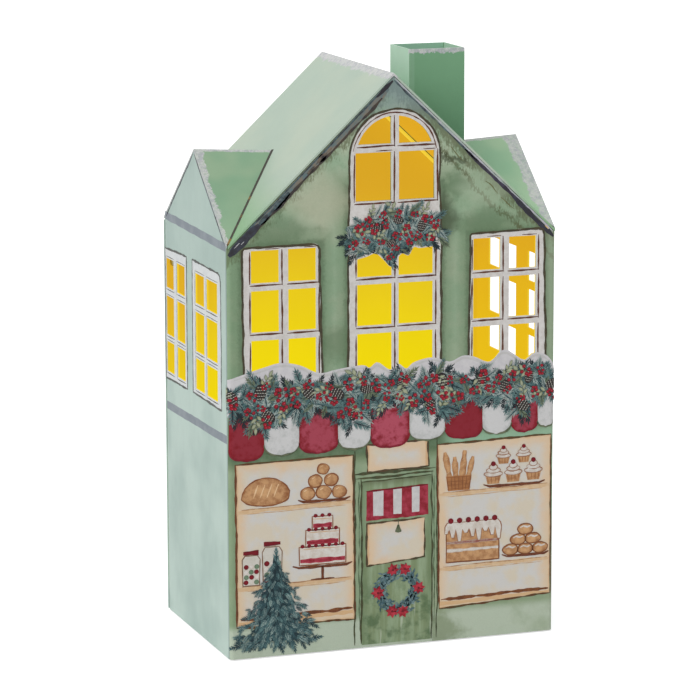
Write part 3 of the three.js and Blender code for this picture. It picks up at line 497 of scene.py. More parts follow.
def chimney_paint(paint):
    f = Finish("printed_chimney")
    x, y, z = f.axes()
    nx, ny, nz = f.facing()
    low, high = (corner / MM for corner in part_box("chimney"))
    side = f.mix(z.rise(high.z - 8, high.z - 42), paint.chimney_side, screen(168, 206, 184))
    face = f.mix(z.rise(high.z, high.z - 45), paint.chimney_green, screen(96, 142, 106))
    face = f.mix((x - low.x).rise(3.4, 2.2) * 0.7, face, screen(132, 172, 140))
    # the front and back take the darker green: partly the print, partly painted shade where the light from
    # the left reaches them less
    colour = f.mix(ny.size().over(0.7), side, face)
    well = (x - 29.65).size().at_least((y + 24).size()).under(13.6)
    colour = f.mix(well * 0.85, colour, screen(172, 214, 190))
    colour = f.tone(colour, 0.96 + f.cloud(5, 3, 0.6) * 0.08)
    rim = (high.z - z + f.cloud(4, 4, 0.65, (1, 1, 0)) * -4.5).rise(1.1, -1.0)
    colour, cover = snow_on(f, colour, rim * y.under(low.y + 1.2), paint)
    return printed(f, colour, cover, gloss=TIN_GLOSS)


# The plain finishes: name, two colours, the clouds for patches and for grain, roughness and what the
# grain adds to it, strength and depth of the bump, where the patches are full, and how metallic they are
GRAINED = {
    "bare_tin": ("bare_tin_plate", (176, 180, 182), (150, 154, 156), (9, 3, 0.6), (1.4, 4, 0.7, (0.08, 1, 1)),
                 (0.28, 0.24), (0.15, 0.03), 0.7, 1),
    "zinc_steel": ("zinc_fittings", (188, 192, 194), (150, 156, 160), (1.6, 3, 0.6), (0.5, 3, 0.7, (1, 1, 6)),
                   (0.26, 0.2), (0.12, 0.03), 0.7, 1),
    "foam": ("foam_pads", (38, 38, 40), (58, 58, 60), (0.5, 2, 0.8), (0.5, 2, 0.8),
             (0.95, 0), (0.7, 0.2), 0.65, 0),
    "black_plastic": ("black_plastic", (34, 34, 36), (42, 42, 45), (14, 2), (0.35, 2, 0.7),
                      (0.42, 0.14), (0.2, 0.05), 0.65, 0),
    "white_plastic": ("white_plastic", (226, 226, 222), (212, 212, 208), (14, 2), (0.35, 2, 0.7),
                      (0.34, 0.14), (0.2, 0.05), 0.65, 0),
    "lead_red": ("lead_red", (170, 30, 32), (146, 22, 26), (2.5, 3, 0.6), (2.5, 3, 0.6),
                 (0.35, 0.2), (0.1, 0.03), 0.7, 0),
    "lead_black": ("lead_black", (30, 30, 32), (42, 42, 44), (2.5, 3, 0.6), (2.5, 3, 0.6),
                   (0.35, 0.2), (0.1, 0.03), 0.7, 0),
}


def grained(slot):
    """A finish of two colours in patches, with finer grain in its shine and its bump."""
    name, first, second, patches, grain, (rough, spread), relief, full, metal = GRAINED[slot]
    f = Finish(name)
    patch, fine = f.cloud(*patches), f.cloud(*grain)
    colour = f.mix(patch.rise(0.35, full), screen(*first), screen(*second))
    return f.surface(colour, rough + fine * spread, Metallic=metal, Normal=f.bump(fine, *relief))


def milky_dome():
    f = Finish("milky_dome")
    x, y, z = f.axes()
    low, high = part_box("diffuser_dome")
    middle = (low + high) / 2 / MM
    reach = ((x - middle.x) * (x - middle.x) + (y - middle.y) * (y - middle.y)).root()
    warm = f.mix(reach.rise(4, 22), screen(255, 240, 170), screen(252, 214, 96))
    haze = f.cloud(6, 3)
    return f.surface(f.mix(haze.rise(0.3, 0.7), screen(240, 234, 214), screen(228, 220, 196)),
                     0.35 + haze * 0.1, Emission_Color=warm, Emission_Strength=0.75)


def battery_sleeve():
    f = Finish("battery_sleeves")
    x, y, z = f.axes()
    start, end = (corner.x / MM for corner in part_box("battery_1"))
    band = x.rise(start + (end - start) * 0.3, start + (end - start) * 0.3 + 0.3)
    colour = f.mix(band, screen(196, 146, 70), screen(40, 44, 46))
    ends = (x - (start + end) / 2).size().over((end - start) / 2 - 1.4)
    colour = f.mix(ends, colour, screen(180, 182, 184))
    scuff = f.cloud(2, 4, 0.7)
    return f.surface(f.tone(colour, 0.94 + scuff * 0.12), 0.22 + scuff * 0.14, Metallic=ends)


def solder_mask():
    f = Finish("solder_mask")
    x, y, z = f.axes()
    tracks = (x * 1.1 + (y * 0.5).wave() * 0.8).wave().rise(0.55, 0.7)
    colour = f.mix(tracks * 0.6, screen(34, 92, 54), screen(56, 124, 74))
    return f.surface(colour, 0.3 + f.cloud(0.6, 2) * 0.15, Normal=f.bump(tracks, 0.3, 0.04))


def amber_led():
    f = Finish("amber_led")
    haze = f.cloud(1.5, 3)
    colour = f.mix(haze.rise(0.3, 0.7), screen(255, 214, 130), screen(244, 178, 70))
    return f.surface(colour, 0.15 + haze * 0.1, Emission_Color=colour, Emission_Strength=0.9)


def painted_ink(name, mottle=5.0, strength=0.55, edge=0.5, toned=0.0, pooled=False):
    """Ink of the drawn shapes. It reads the colours, shade and tone that are painted on their points.
    The second colour gathers at the edges, or in the middle where the first one has pooled there."""
    f = Finish(name)
    shade, cloud, fine = f.value("shade"), f.cloud(mottle, 4, 0.62), f.cloud(0.8, 2, 0.6)
    if pooled:
        amount = (cloud + shade * edge - edge * 0.5 + (fine - 0.5) * 0.12).rise(0.36, 0.7) * strength
    else:
        amount = cloud.rise(0.36, 0.68) * strength + (1 - shade) * edge
    level = 0.95 + fine * 0.1
    if toned:
        level = level + f.value("tone") * toned
    colour = f.mix(amount, f.colour("ink"), f.colour("tint"))
    return printed(f, f.tone(colour, level))


# Flat drawing

def sampled(path, step, closed=False):
    """Points along a path, about one step apart, with its corners kept."""
    points = [Vector(point) for point in path]
    if closed:
        points.append(points[0])
    result = [points[0]]
    for start, end in zip(points, points[1:]):
        count = max(1, round((end - start).length / step))
        result.extend(start.lerp(end, index / count) for index in range(1, count + 1))
    return result[:-1] if closed else result


def curve_through(points, steps):
    """Points on a smooth curve through the given ones, as the part's source draws its snow line."""
    last = len(points) - 1
    result = []
    for index in range(steps + 1):
        place = last * index / steps
        start = min(int(place), last)
        t = place - start
        p0, p1 = points[max(start - 1, 0)], points[start]
        p2, p3 = points[min(start + 1, last)], points[min(start + 2, last)]
        spot = []
        for a, b, c, d in zip(p0, p1, p2, p3):
            v0, v1 = (c - a) / 2, (d - b) / 2
            spot.append((2 * b - 2 * c + v0 + v1) * t ** 3 + (-3 * b + 3 * c - 2 * v0 - v1) * t * t
                        + v0 * t + b)
        result.append(tuple(spot))
    return result


def oval(across, up, half_width, half_height, count=24, turn=0.0, wobble=0.0, seed=0):
    """Outline of an oval, drawn by hand where it has a wobble."""
    result = []
    for index in range(count):
        angle = math.tau * index / count
        swell = 1 + wobble * noise.noise(Vector((math.cos(angle) * 1.3, math.sin(angle) * 1.3, seed)))
        u, v = half_width * math.cos(angle) * swell, half_height * math.sin(angle) * swell
        result.append((across + u * math.cos(turn) - v * math.sin(turn),
                       up + u * math.sin(turn) + v * math.cos(turn)))
    return result


def upright(u, low, high, foot, top=None):
    """Four corners that stand on a level: half widths at the foot and at the top."""
    top = foot if top is None else top
    return [(u - foot, low), (u + foot, low), (u + top, high), (u - top, high)]


def aimed(angle):
    return Vector((math.cos(angle), math.sin(angle)))


def beside(along):
    """The direction square to another, to its left."""
    return Vector((-along.y, along.x))


def signed_area(loop):
    return sum(a[0] * b[1] - b[0] * a[1] for a, b in zip(loop, loop[1:] + loop[:1])) / 2


class Drawing:
    """Thin painted shapes, drawn flat in millimetres: across, up, and proud of the tin."""

    def __init__(self, seed=1):
        self.mesh = bmesh.new()
        layers = self.mesh.verts.layers
        self.ink, self.tint = layers.float_color.new("ink"), layers.float_color.new("tint")
        self.shade = layers.float.new("shade")
        self.tone = layers.float.new("tone")
        self.chance = random.Random(seed)
        self.pen = seed

    def corner(self, u, v, h, ink, tint, shade):
        vert = self.mesh.verts.new((u, v, h))
        vert[self.ink], vert[self.tint], vert[self.shade] = (*ink, 1), (*tint, 1), shade
        return vert

    def face(self, *corners):
        self.mesh.faces.new(corners)

    def rim(self, top, bottom):
        for index in range(len(top)):
            after = (index + 1) % len(top)
            self.face(bottom[index], bottom[after], top[after], top[index])

    def plate(self, outline, proud, ink, tint=None, holes=(), shade=0.7):
        """A flat shape with a closed edge, and holes where the tin shows or is cut."""
        tint = tint or ink
        loops = []
        for index, loop in enumerate([outline, *holes]):
            loop = [tuple(point[:2]) for point in loop]
            if (signed_area(loop) < 0) == (index == 0):
                loop.reverse()
            loops.append(loop)
        flat = [point for loop in loops for point in loop]
        top = [self.corner(u, v, proud, ink, tint, shade) for u, v in flat]
        bottom = [self.corner(u, v, GAP, ink, tint, shade) for u, v in flat]
        for a, b, c in tessellate_polygon([[Vector((u, v, 0)) for u, v in loop] for loop in loops]):
            if signed_area([flat[a], flat[b], flat[c]]) < 0:
                b, c = c, b
            self.face(top[a], top[b], top[c])
            self.face(bottom[a], bottom[c], bottom[b])
        start = 0
        for loop in loops:
            end = start + len(loop)
            self.rim(top[start:end], bottom[start:end])
            start = end

    def panel(self, outline, step, *look, **more):
        """A plate whose edge has a point at every step, so that it can follow the folds of the sheet."""
        self.plate(sampled(outline, step, closed=True), *look, **more)

    def blob(self, outline, proud, ink, tint, rings=((1, 0.0), (0.84, 0.45), (0.5, 0.85)), centre=None):
        """A rounded shape whose shade runs from its edge to its middle."""
        outline = [tuple(point[:2]) for point in outline]
        if signed_area(outline) < 0:
            outline.reverse()
        cu, cv = centre or [sum(values) / len(outline) for values in zip(*outline)]
        circles = []
        for scale, shade in rings:
            circles.append([self.corner(cu + (u - cu) * scale, cv + (v - cv) * scale, proud, ink, tint, shade)
                            for u, v in outline])
        hub = self.corner(cu, cv, proud, ink, tint, 1.0)
        bottom = [self.corner(u, v, GAP, ink, tint, 0) for u, v in outline]
        count = len(outline)
        for outer, inner in zip(circles, circles[1:]):
            for index in range(count):
                after = (index + 1) % count
                self.face(outer[index], outer[after], inner[after], inner[index])
        for index in range(count):
            self.face(circles[-1][index], circles[-1][(index + 1) % count], hub)
        self.rim(circles[0], bottom)
        self.face(*reversed(bottom))

    def stroke(self, path, width, proud, ink, tint=None, step=1.4, taper=0.4, wobble=0.25, uneven=0.3,
               closed=False, low=GAP):
        """A pen line: its width breathes, its ends thin out and its path wavers a little."""
        tint = tint or ink
        self.pen += 1
        wavering = []
        for spot in sampled(path, step, closed):
            drift = noise.noise_vector(Vector((spot.x * 0.11, spot.y * 0.11, self.pen * 3.7)))
            wavering.append(spot + Vector((drift.x, drift.y)) * wobble)
        count = len(wavering)
        rows = []
        for index, spot in enumerate(wavering):
            before = wavering[index - 1] if index or closed else spot
            after = wavering[(index + 1) % count] if index < count - 1 or closed else spot
            side = beside((after - before).normalized())
            breath = 1 + uneven * 1.6 * noise.noise(Vector((spot.x * 0.3, spot.y * 0.3, self.pen * 1.3)))
            ends = 1.0 if closed else min(1.0, taper + (1 - taper) * min(index, count - 1 - index) / 3)
            half = side * (width / 2 * breath * ends)
            profile = ((half, proud, 0.2), (half * 0, proud, 1.0), (-half, proud, 0.2), (-half, low, 0.2),
                       (half, low, 0.2))
            rows.append([self.corner(*(spot + out), high, ink, tint, shade) for out, high, shade in profile])
        pairs = list(zip(rows, rows[1:]))
        if closed:
            pairs.append((rows[-1], rows[0]))
        for now, then in pairs:
            for k in range(5):
                self.face(now[(k + 1) % 5], then[(k + 1) % 5], then[k], now[k])
        if not closed:
            self.face(*rows[0])
            self.face(*reversed(rows[-1]))

    def mesh_data(self, name):
        data = bpy.data.meshes.new(name)
        self.mesh.normal_update()
        self.mesh.to_mesh(data)
        self.mesh.free()
        return data


def on_front(u, v, h):
    """A flat point on the front wall, following the sheet round its two folds."""
    past = abs(u) - FLAT_HALF
    if past <= 0:
        return u, FRONT - h, v
    angle = min(past / FOLD, math.pi / 2)
    reach = FOLD + h
    return math.copysign(FLAT_HALF + reach * math.sin(angle), u), FRONT + FOLD - reach * math.cos(angle), v


WALLS = {
    "front": on_front,
    "left": lambda u, v, h: (-HALF_WIDTH - h, -u, v),
    "right": lambda u, v, h: (HALF_WIDTH + h, u, v),
    "rear": lambda u, v, h: (-u, REAR + h, v),
}


def placed(name, data):
    """A new object in the scene."""
    thing = bpy.data.objects.new(name, data)
    bpy.context.scene.collection.objects.link(thing)
    return thing


def lay(data, wall, name, material):
    """Lays a flat drawing on its wall as a finished piece that rides on the house."""
    flat = bmesh.new()
    flat.from_mesh(data)
    bpy.data.meshes.remove(data)
    if wall == "front":
        for side in (-1, 1):
            for past in (0, 0.8, 1.6, 2.4):
                cut = side * (FLAT_HALF + past)
                if any(vert.co.x * side > abs(cut) for vert in flat.verts):
                    bmesh.ops.bisect_plane(flat, geom=flat.verts[:] + flat.edges[:] + flat.faces[:],
                                           dist=1e-5, plane_co=(cut, 0, 0), plane_no=(1, 0, 0))
    place = WALLS[wall]
    for vert in flat.verts:
        vert.co = Vector(place(*vert.co)) * MM
    flat.normal_update()
    data = bpy.data.meshes.new(name)
    flat.to_mesh(data)
    flat.free()
    data.materials.append(material)
    piece = placed(name, data)
    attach(piece, "house")


def finish_drawing(drawing, wall, name, material):
    lay(drawing.mesh_data(name), wall, name, material)


def joined(parts, name):
    """One flat mesh from several, with their painted colours and numbers."""
    data = bpy.data.meshes.new(name)
    spots, faces, start = [], [], 0
    painted = {"ink": [], "tint": [], "shade": [], "tone": []}
    for part in parts:
        count = len(part.vertices)
        spots.extend(tuple(vert.co) for vert in part.vertices)
        faces.extend([start + index for index in face.vertices] for face in part.polygons)
        for key, values in painted.items():
            width = 4 if key in ("ink", "tint") else 1
            found = part.attributes.get(key)
            numbers = np.zeros(count * width, np.float32)
            if found is not None:
                found.data.foreach_get("color" if width == 4 else "value", numbers)
            values.append(numbers)
        start += count
        bpy.data.meshes.remove(part)
    data.from_pydata(spots, [], faces)
    for key, values in painted.items():
        kind = "FLOAT_COLOR" if key in ("ink", "tint") else "FLOAT"
        layer = data.attributes.new(key, kind, "POINT")
        layer.data.foreach_set("color" if kind == "FLOAT_COLOR" else "value", np.concatenate(values))
    return data


# Scattering of sprigs, leaves, cones and berries

SCATTER_INPUTS = (
    ("Item", "NodeSocketObject", None), ("Spacing", "NodeSocketFloat", 3.0),
    ("Density", "NodeSocketFloat", 1.0), ("Smallest", "NodeSocketFloat", 0.8),
    ("Largest", "NodeSocketFloat", 1.2), ("Turn", "NodeSocketFloat", 3.14),
    ("Aim", "NodeSocketVector", (0.0, 0.0, 0.0)), ("Follow", "NodeSocketFloat", 0.0),
    ("Lowest", "NodeSocketFloat", 0.05), ("Highest", "NodeSocketFloat", 0.3),
    ("Seed", "NodeSocketInt", 1), ("Material", "NodeSocketMaterial", None),
)


def scatter_tree():
    """Items spread over a flat field, each turned away from an aim point, or at random."""
    found = bpy.data.node_groups.get("scatter_print")
    if found:
        return found
    tree = bpy.data.node_groups.new("scatter_print", "GeometryNodeTree")
    tree.interface.new_socket("Geometry", in_out="INPUT", socket_type="NodeSocketGeometry")
    tree.interface.new_socket("Geometry", in_out="OUTPUT", socket_type="NodeSocketGeometry")
    for name, kind, default in SCATTER_INPUTS:
        socket = tree.interface.new_socket(name, in_out="INPUT", socket_type=kind)
        if default is not None:
            socket.default_value = default

    def add(kind, settings=None, inputs=None):
        return new_node(tree, kind, settings, inputs)

    def maths(operation, first, second):
        return add("ShaderNodeMath", {"operation": operation}, {0: first, 1: second}).outputs[0]

    given = add("NodeGroupInput").outputs

    def drawn(low, high, shift):
        """A number drawn for each item between two others."""
        seed = maths("ADD", given["Seed"], shift)
        node = add("FunctionNodeRandomValue", {"data_type": "FLOAT"}, {"Seed": seed})
        for key, value in (("Min", low), ("Max", high)):
            feed(tree, next(s for s in node.inputs if s.name == key and s.type == "VALUE"), value)
        return next(s for s in node.outputs if s.type == "VALUE" and s.enabled)

    spread = add("GeometryNodeDistributePointsOnFaces", {"distribute_method": "POISSON"}, {
        "Mesh": given["Geometry"], "Distance Min": given["Spacing"], "Density Max": given["Density"],
        "Seed": given["Seed"]})
    offset = add("ShaderNodeVectorMath", {"operation": "SUBTRACT"},
                 {0: add("GeometryNodeInputPosition").outputs[0], 1: given["Aim"]}).outputs[0]
    parts = add("ShaderNodeSeparateXYZ", None, {0: offset}).outputs
    bearing = maths("MULTIPLY", maths("ARCTAN2", parts[1], parts[0]), given["Follow"])
    turn = maths("ADD", bearing, drawn(maths("MULTIPLY", given["Turn"], -1.0), given["Turn"], 11))
    rotation = add("ShaderNodeCombineXYZ", None, {2: turn}).outputs[0]
    item = add("GeometryNodeObjectInfo", None, {"Object": given["Item"]}).outputs["Geometry"]
    placed = add("GeometryNodeInstanceOnPoints", None, {
        "Points": spread.outputs["Points"], "Instance": item, "Rotation": rotation,
        "Scale": drawn(given["Smallest"], given["Largest"], 23)}).outputs[0]
    lift = add("ShaderNodeCombineXYZ", None, {2: drawn(given["Lowest"], given["Highest"], 37)}).outputs[0]
    lifted = add("GeometryNodeSetPosition", None, {"Geometry": placed, "Offset": lift}).outputs[0]
    toned = add("GeometryNodeStoreNamedAttribute", {"data_type": "FLOAT", "domain": "INSTANCE"}, {
        "Geometry": lifted, "Name": "tone", "Value": drawn(-1.0, 1.0, 51)}).outputs[0]
    plain = add("GeometryNodeRealizeInstances", None, {"Geometry": toned}).outputs[0]
    ready = add("GeometryNodeSetMaterial", None,
                {"Geometry": plain, "Material": given["Material"]}).outputs[0]
    add("NodeGroupOutput", None, {"Geometry": ready})
    return tree


def in_loop(u, v, loop):
    """Whether a point lies in an outline."""
    found = False
    for (u0, v0), (u1, v1) in zip(loop, loop[1:] + loop[:1]):
        if (v0 > v) != (v1 > v) and u < (u1 - u0) * (v - v0) / (v1 - v0) + u0:
            found = not found
    return found


def trimmed(data, loops):
    """Takes away the needles, leaves and berries that would hang over an open pane."""
    flat = bmesh.new()
    flat.from_mesh(data)
    boxes = [(*span(loop, 0), *span(loop, 1), loop) for loop in loops]
    waiting, doomed = set(flat.verts), []
    while waiting:
        group, reach = [], [waiting.pop()]
        while reach:
            vert = reach.pop()
            group.append(vert)
            for edge in vert.link_edges:
                other = edge.other_vert(vert)
                if other in waiting:
                    waiting.discard(other)
                    reach.append(other)
        if any(low_u < u < high_u and low_v < v < high_v and in_loop(u, v, loop)
               for u, v in (vert.co.xy for vert in group) for low_u, high_u, low_v, high_v, loop in boxes):
            doomed += group
    bmesh.ops.delete(flat, geom=doomed, context="VERTS")
    flat.to_mesh(data)
    flat.free()
    return data


def scattered(field, item, material, **inputs):
    """The flat mesh of one scattering. The field is a flat outline, and the item a drawing."""
    collection = bpy.context.scene.collection
    item_object = bpy.data.objects.new("scatter_item", item)
    ground = bpy.data.meshes.new("scatter_field")
    corners = [Vector((*point[:2], 0)) for point in field]
    ground.from_pydata(corners, [], tessellate_polygon([corners]))
    field_object = bpy.data.objects.new("scatter_field", ground)
    for thing in (item_object, field_object):
        collection.objects.link(thing)
    tree = scatter_tree()
    modifier = field_object.modifiers.new("scatter", "NODES")
    modifier.node_group = tree
    sockets = {s.name: s.identifier for s in tree.interface.items_tree if s.in_out == "INPUT"}
    for key, value in {"Item": item_object, "Material": material, **inputs}.items():
        modifier[sockets[key]] = value
    graph = bpy.context.evaluated_depsgraph_get()
    result = bpy.data.meshes.new_from_object(field_object.evaluated_get(graph))
    field_object.modifiers.remove(modifier)
    for thing in (field_object, item_object):
        bpy.data.objects.remove(thing)
    bpy.data.meshes.remove(ground)
    return result


def needle_blade(drawing, start, end, half, ink, tint, height=0.06):
    """One needle: a closed sliver with a ridge, four faces in all."""
    side = beside((end - start).normalized()) * half
    middle = start.lerp(end, 0.35)
    left, right, foot, tip, crest = (
        drawing.corner(*spot, high, ink, tint, shade) for spot, high, shade in (
            (middle + side, 0.0, 0.15), (middle - side, 0.0, 0.15), (start, 0.0, 0.9), (end, 0.0, 0.0),
            (middle, height, 0.8)))
    for a, b in ((foot, right), (right, tip), (tip, left), (left, foot)):
        drawing.face(a, b, crest)
    drawing.face(left, tip, right, foot)


def stem(drawing, start, end, half, ink, tint, height=0.06):
    """A needle along +X, from one distance to another."""
    needle_blade(drawing, Vector((start, 0)), Vector((end, 0)), half, ink, tint, height)


def sprig(size, pairs, ink, tint, seed, spread=0.75, thick=0.042):
    """A fir sprig along +X: a stem with needles that lean forward."""
    drawing = Drawing(seed)
    chance = drawing.chance
    stem(drawing, 0, size * 0.96, size * 0.035, ink, ink, 0.05)
    for index in range(pairs):
        start = Vector((size * (0.06 + 0.82 * index / pairs), 0))
        reach = size * (0.42 - 0.2 * index / pairs) * chance.uniform(0.8, 1.15)
        for side in (-1, 1):
            lean = side * chance.uniform(spread - 0.22, spread + 0.2)
            needle_blade(drawing, start, start + aimed(lean) * reach, size * thick, ink, tint)
    stem(drawing, size * 0.8, size * 1.12, size * 0.04, ink, tint)
    return drawing.mesh_data("sprig")


# Place on the stem, turn and length of each leaf, as shares of the spray's length
LEAVES = ((0.15, 0.9, 0.42), (0.3, -0.8, 0.46), (0.5, 0.75, 0.44), (0.62, -0.6, 0.42), (0.82, 0.1, 0.5))


def leaf_spray(size, ink, tint, seed):
    """Five pointed leaves along a thin stem on +X."""
    drawing = Drawing(seed)
    stem(drawing, 0, size, size * 0.025, tint, tint, 0.05)
    reach = [(t, math.sin(math.pi * t) * (1.2 - 0.5 * t)) for t in (0, 0.2, 0.4, 0.6, 0.8, 1.0)]
    for start, turn, long in LEAVES:
        base, axis = Vector((size * start, 0)), aimed(turn)
        side = beside(axis)
        outline = [base + axis * (size * long * t) + side * (size * 0.11 * wide)
                   for t, wide in reach + [(t, -wide) for t, wide in reach[-2:0:-1]]]
        drawing.blob(outline, 0.06, ink, tint, rings=((1, 0.0), (0.55, 1.0)))
    return drawing.mesh_data("leaves")


def cone(size, ink, tint, seed):
    """A pine cone seen from the side: rows of scales with pale tips."""
    drawing = Drawing(seed)
    drawing.blob(oval(0, 0, size * 0.5, size * 0.36, 14), 0.05, ink, ink, rings=((1, 0.8), (0.5, 1.0)))
    for row in range(5):
        level = 0.07 + 0.012 * row
        for column in range(-2, 3):
            u = size * (-0.34 + row * 0.17)
            v = size * 0.15 * (column + 0.5 * (row % 2))
            if (u / (size * 0.48)) ** 2 + (v / (size * 0.34)) ** 2 > 1:
                continue
            scale = oval(u, v, size * 0.09, size * 0.065, 7, 0.3)
            drawing.blob(scale, level, screen(66, 58, 54), ink, rings=((1, 0.0), (0.62, 1.0)))
            drawing.stroke([(u + size * 0.05, v - size * 0.055), (u + size * 0.06, v + size * 0.055)],
                           size * 0.05, 0.085 + 0.012 * row, tint, step=size * 0.06, wobble=0.02)
    return drawing.mesh_data("cone")


def berry_cluster(size, ink, tint, twig, seed):
    """Six berries in a loose bunch, with a soft glint each, on thin stems."""
    drawing = Drawing(seed)
    chance, glint = drawing.chance, screen(196, 92, 106)
    for index in range(6):
        angle = index * 1.15 + chance.uniform(-0.3, 0.3)
        spot = aimed(angle) * (size * (0.7 if index < 4 else 1.7) * chance.uniform(0.85, 1.2))
        needle_blade(drawing, Vector((0, 0)), spot, size * 0.08, twig, twig, 0.03)
        drawing.blob(oval(*spot, size * 0.5, size * 0.46, 8), 0.08 + 0.01 * index, ink, tint,
                     rings=((1, 0.0), (0.6, 0.9)))
        drawing.blob(oval(spot.x - size * 0.12, spot.y + size * 0.14, size * 0.11, size * 0.08, 5),
                     0.1 + 0.01 * index, glint, glint, rings=((1, 1.0),))
    return drawing.mesh_data("berries")


# Lines and places that the part's source and the photograph share

SNOW_CRESTS = [
    (-88, 145), (-76, 148.4), (-68, 150.5), (-60, 152.1), (-50, 150.2), (-40, 145.6), (-30, 147),
    (-17, 148.2), (-13, 146.6), (-8.7, 149.2), (-2, 144.8), (2.4, 147.7), (6.7, 144.9), (11, 148),
    (21, 149.8), (30, 147), (37, 149.6), (43, 148.9), (52, 145.4), (60, 151.5), (70.4, 145.2),
    (77, 148.8), (83.5, 146.5), (88, 140.5),
]
SWAG_CRESTS = [
    (-20, 202.3), (-14.4, 203.5), (-9.8, 204.9), (-5.5, 201.4), (-1.5, 197.7), (2.4, 202.4), (4.6, 204.1),
    (8, 203), (10.6, 207), (14, 206.4), (20.8, 206.9),
]
SWAG_TOP = [(24, 211), (25, 217), (19, 221), (12, 223.5), (4, 225.5), (-7, 225), (-15, 222), (-24, 216),
            (-24, 210)]
ARCH = (0.65, 253.4)  # centre of the arched window's round top


def arch(radius, parts, first, last):
    """Points on the round top of the middle window, counted from its right end."""
    angles = [math.pi * k / parts for k in range(first, last)]
    return [(ARCH[0] + radius * math.cos(angle), ARCH[1] + radius * math.sin(angle)) for angle in angles]


FRAMES = {
    "left": [(-80.2, 210), (-79.4, 210.9), (-42.4, 211.6), (-40.4, 210.9), (-39.5, 209), (-38.1, 138),
             (-79.8, 138)],
    "right": [(41.5, 211.2), (42.2, 212), (78.4, 213.2), (80.9, 212.4), (81.7, 210), (83.1, 138),
              (40.4, 138)],
    "middle": [*arch(24.1, 28, 0, 29), (-23.7, 233), (-24.3, 212), (-24.4, 138), (25.4, 138), (25.5, 212),
               (24.6, 233)],
}
SIDE_FRAMES = {
    "left": (((-53, 126.8), (-53, 196), (-14.2, 197), (-14.2, 127.6)),
             ((-4, 128), (-4, 197), (40.6, 196.8), (43.6, 195.6), (45, 192.4), (45, 127.5))),
    "right": (((-52.6, 132), (-52.8, 201.4), (-17.4, 201.8), (-17.2, 132.4)),
              ((-10, 132.6), (-10.2, 201.6), (40.6, 201.2), (40.4, 132))),
}
# Where the scallops of the awning meet, and how low each one hangs
SCALLOPS = (-87.6, -69.5, -50.5, -30.3, -12.3, 8.2, 28, 48, 64.4, 78.5, 88)
SCALLOP_FEET = (103.5, 105, 105, 105.5, 105.3, 107.4, 107, 107.8, 108, 109.7)
SCALLOP_WASH = (0.2, 0.62, 0.85, 0.12, 0.45)  # how thin the red is in each red scallop


def pane_loops(node, axis, level):
    """Outlines of the holes that are cut in one flat side of a node, in millimetres."""
    data = NODES[node].data
    keys = [tuple(round(c / MM, 3) for c in vert.co) for vert in data.vertices]
    used = {}
    for face in data.polygons:
        corners = [keys[index] for index in face.vertices]
        if all(abs(corner[axis] - level) < 0.01 for corner in corners):
            for a, b in zip(corners, corners[1:] + corners[:1]):
                if (b, a) in used:
                    del used[(b, a)]
                else:
                    used[(a, b)] = True
    after = {}
    for a, b in used:
        after.setdefault(a, []).append(b)
    loops = []
    while after:
        start = next(iter(after))
        loop, here = [start], start
        while here in after:
            there = after[here].pop()
            if not after[here]:
                del after[here]
            if there == start:
                break
            loop.append(there)
            here = there
        loops.append(loop)
    flat = [index for index in range(3) if index != axis]
    loops.sort(key=lambda loop: -abs(signed_area([[corner[index] for index in flat] for corner in loop])))
    return loops[1:]


def front_panes():
    return [[(x, z) for x, y, z in loop] for loop in pane_loops("wall_wrap", 1, FRONT)]


def span(loop, index):
    values = [point[index] for point in loop]
    return min(values), max(values)


def inside(loop, outline):
    low_u, high_u = span(outline, 0)
    low_v, high_v = span(outline, 1)
    return low_u < sum(span(loop, 0)) / 2 < high_u and low_v < sum(span(loop, 1)) / 2 < high_v


# Operators

def settings(context):
    """The colours as plain tuples, and the height of one layer of ink in millimetres."""
    pots = context.scene.bakery_paint
    paint = SimpleNamespace(**{key: tuple(getattr(pots, key)) for key in BakeryPaint.__annotations__})
    return paint, context.scene.bakery_print.proud / MM


SENSOR_WIDTH = 36  # millimetres
FAR_CLIP = 20  # metres
KEY_FROM, KEY_SIZE = (-0.66, -0.36, 0.66), math.radians(55)
FLOOR_REACH = 9.0


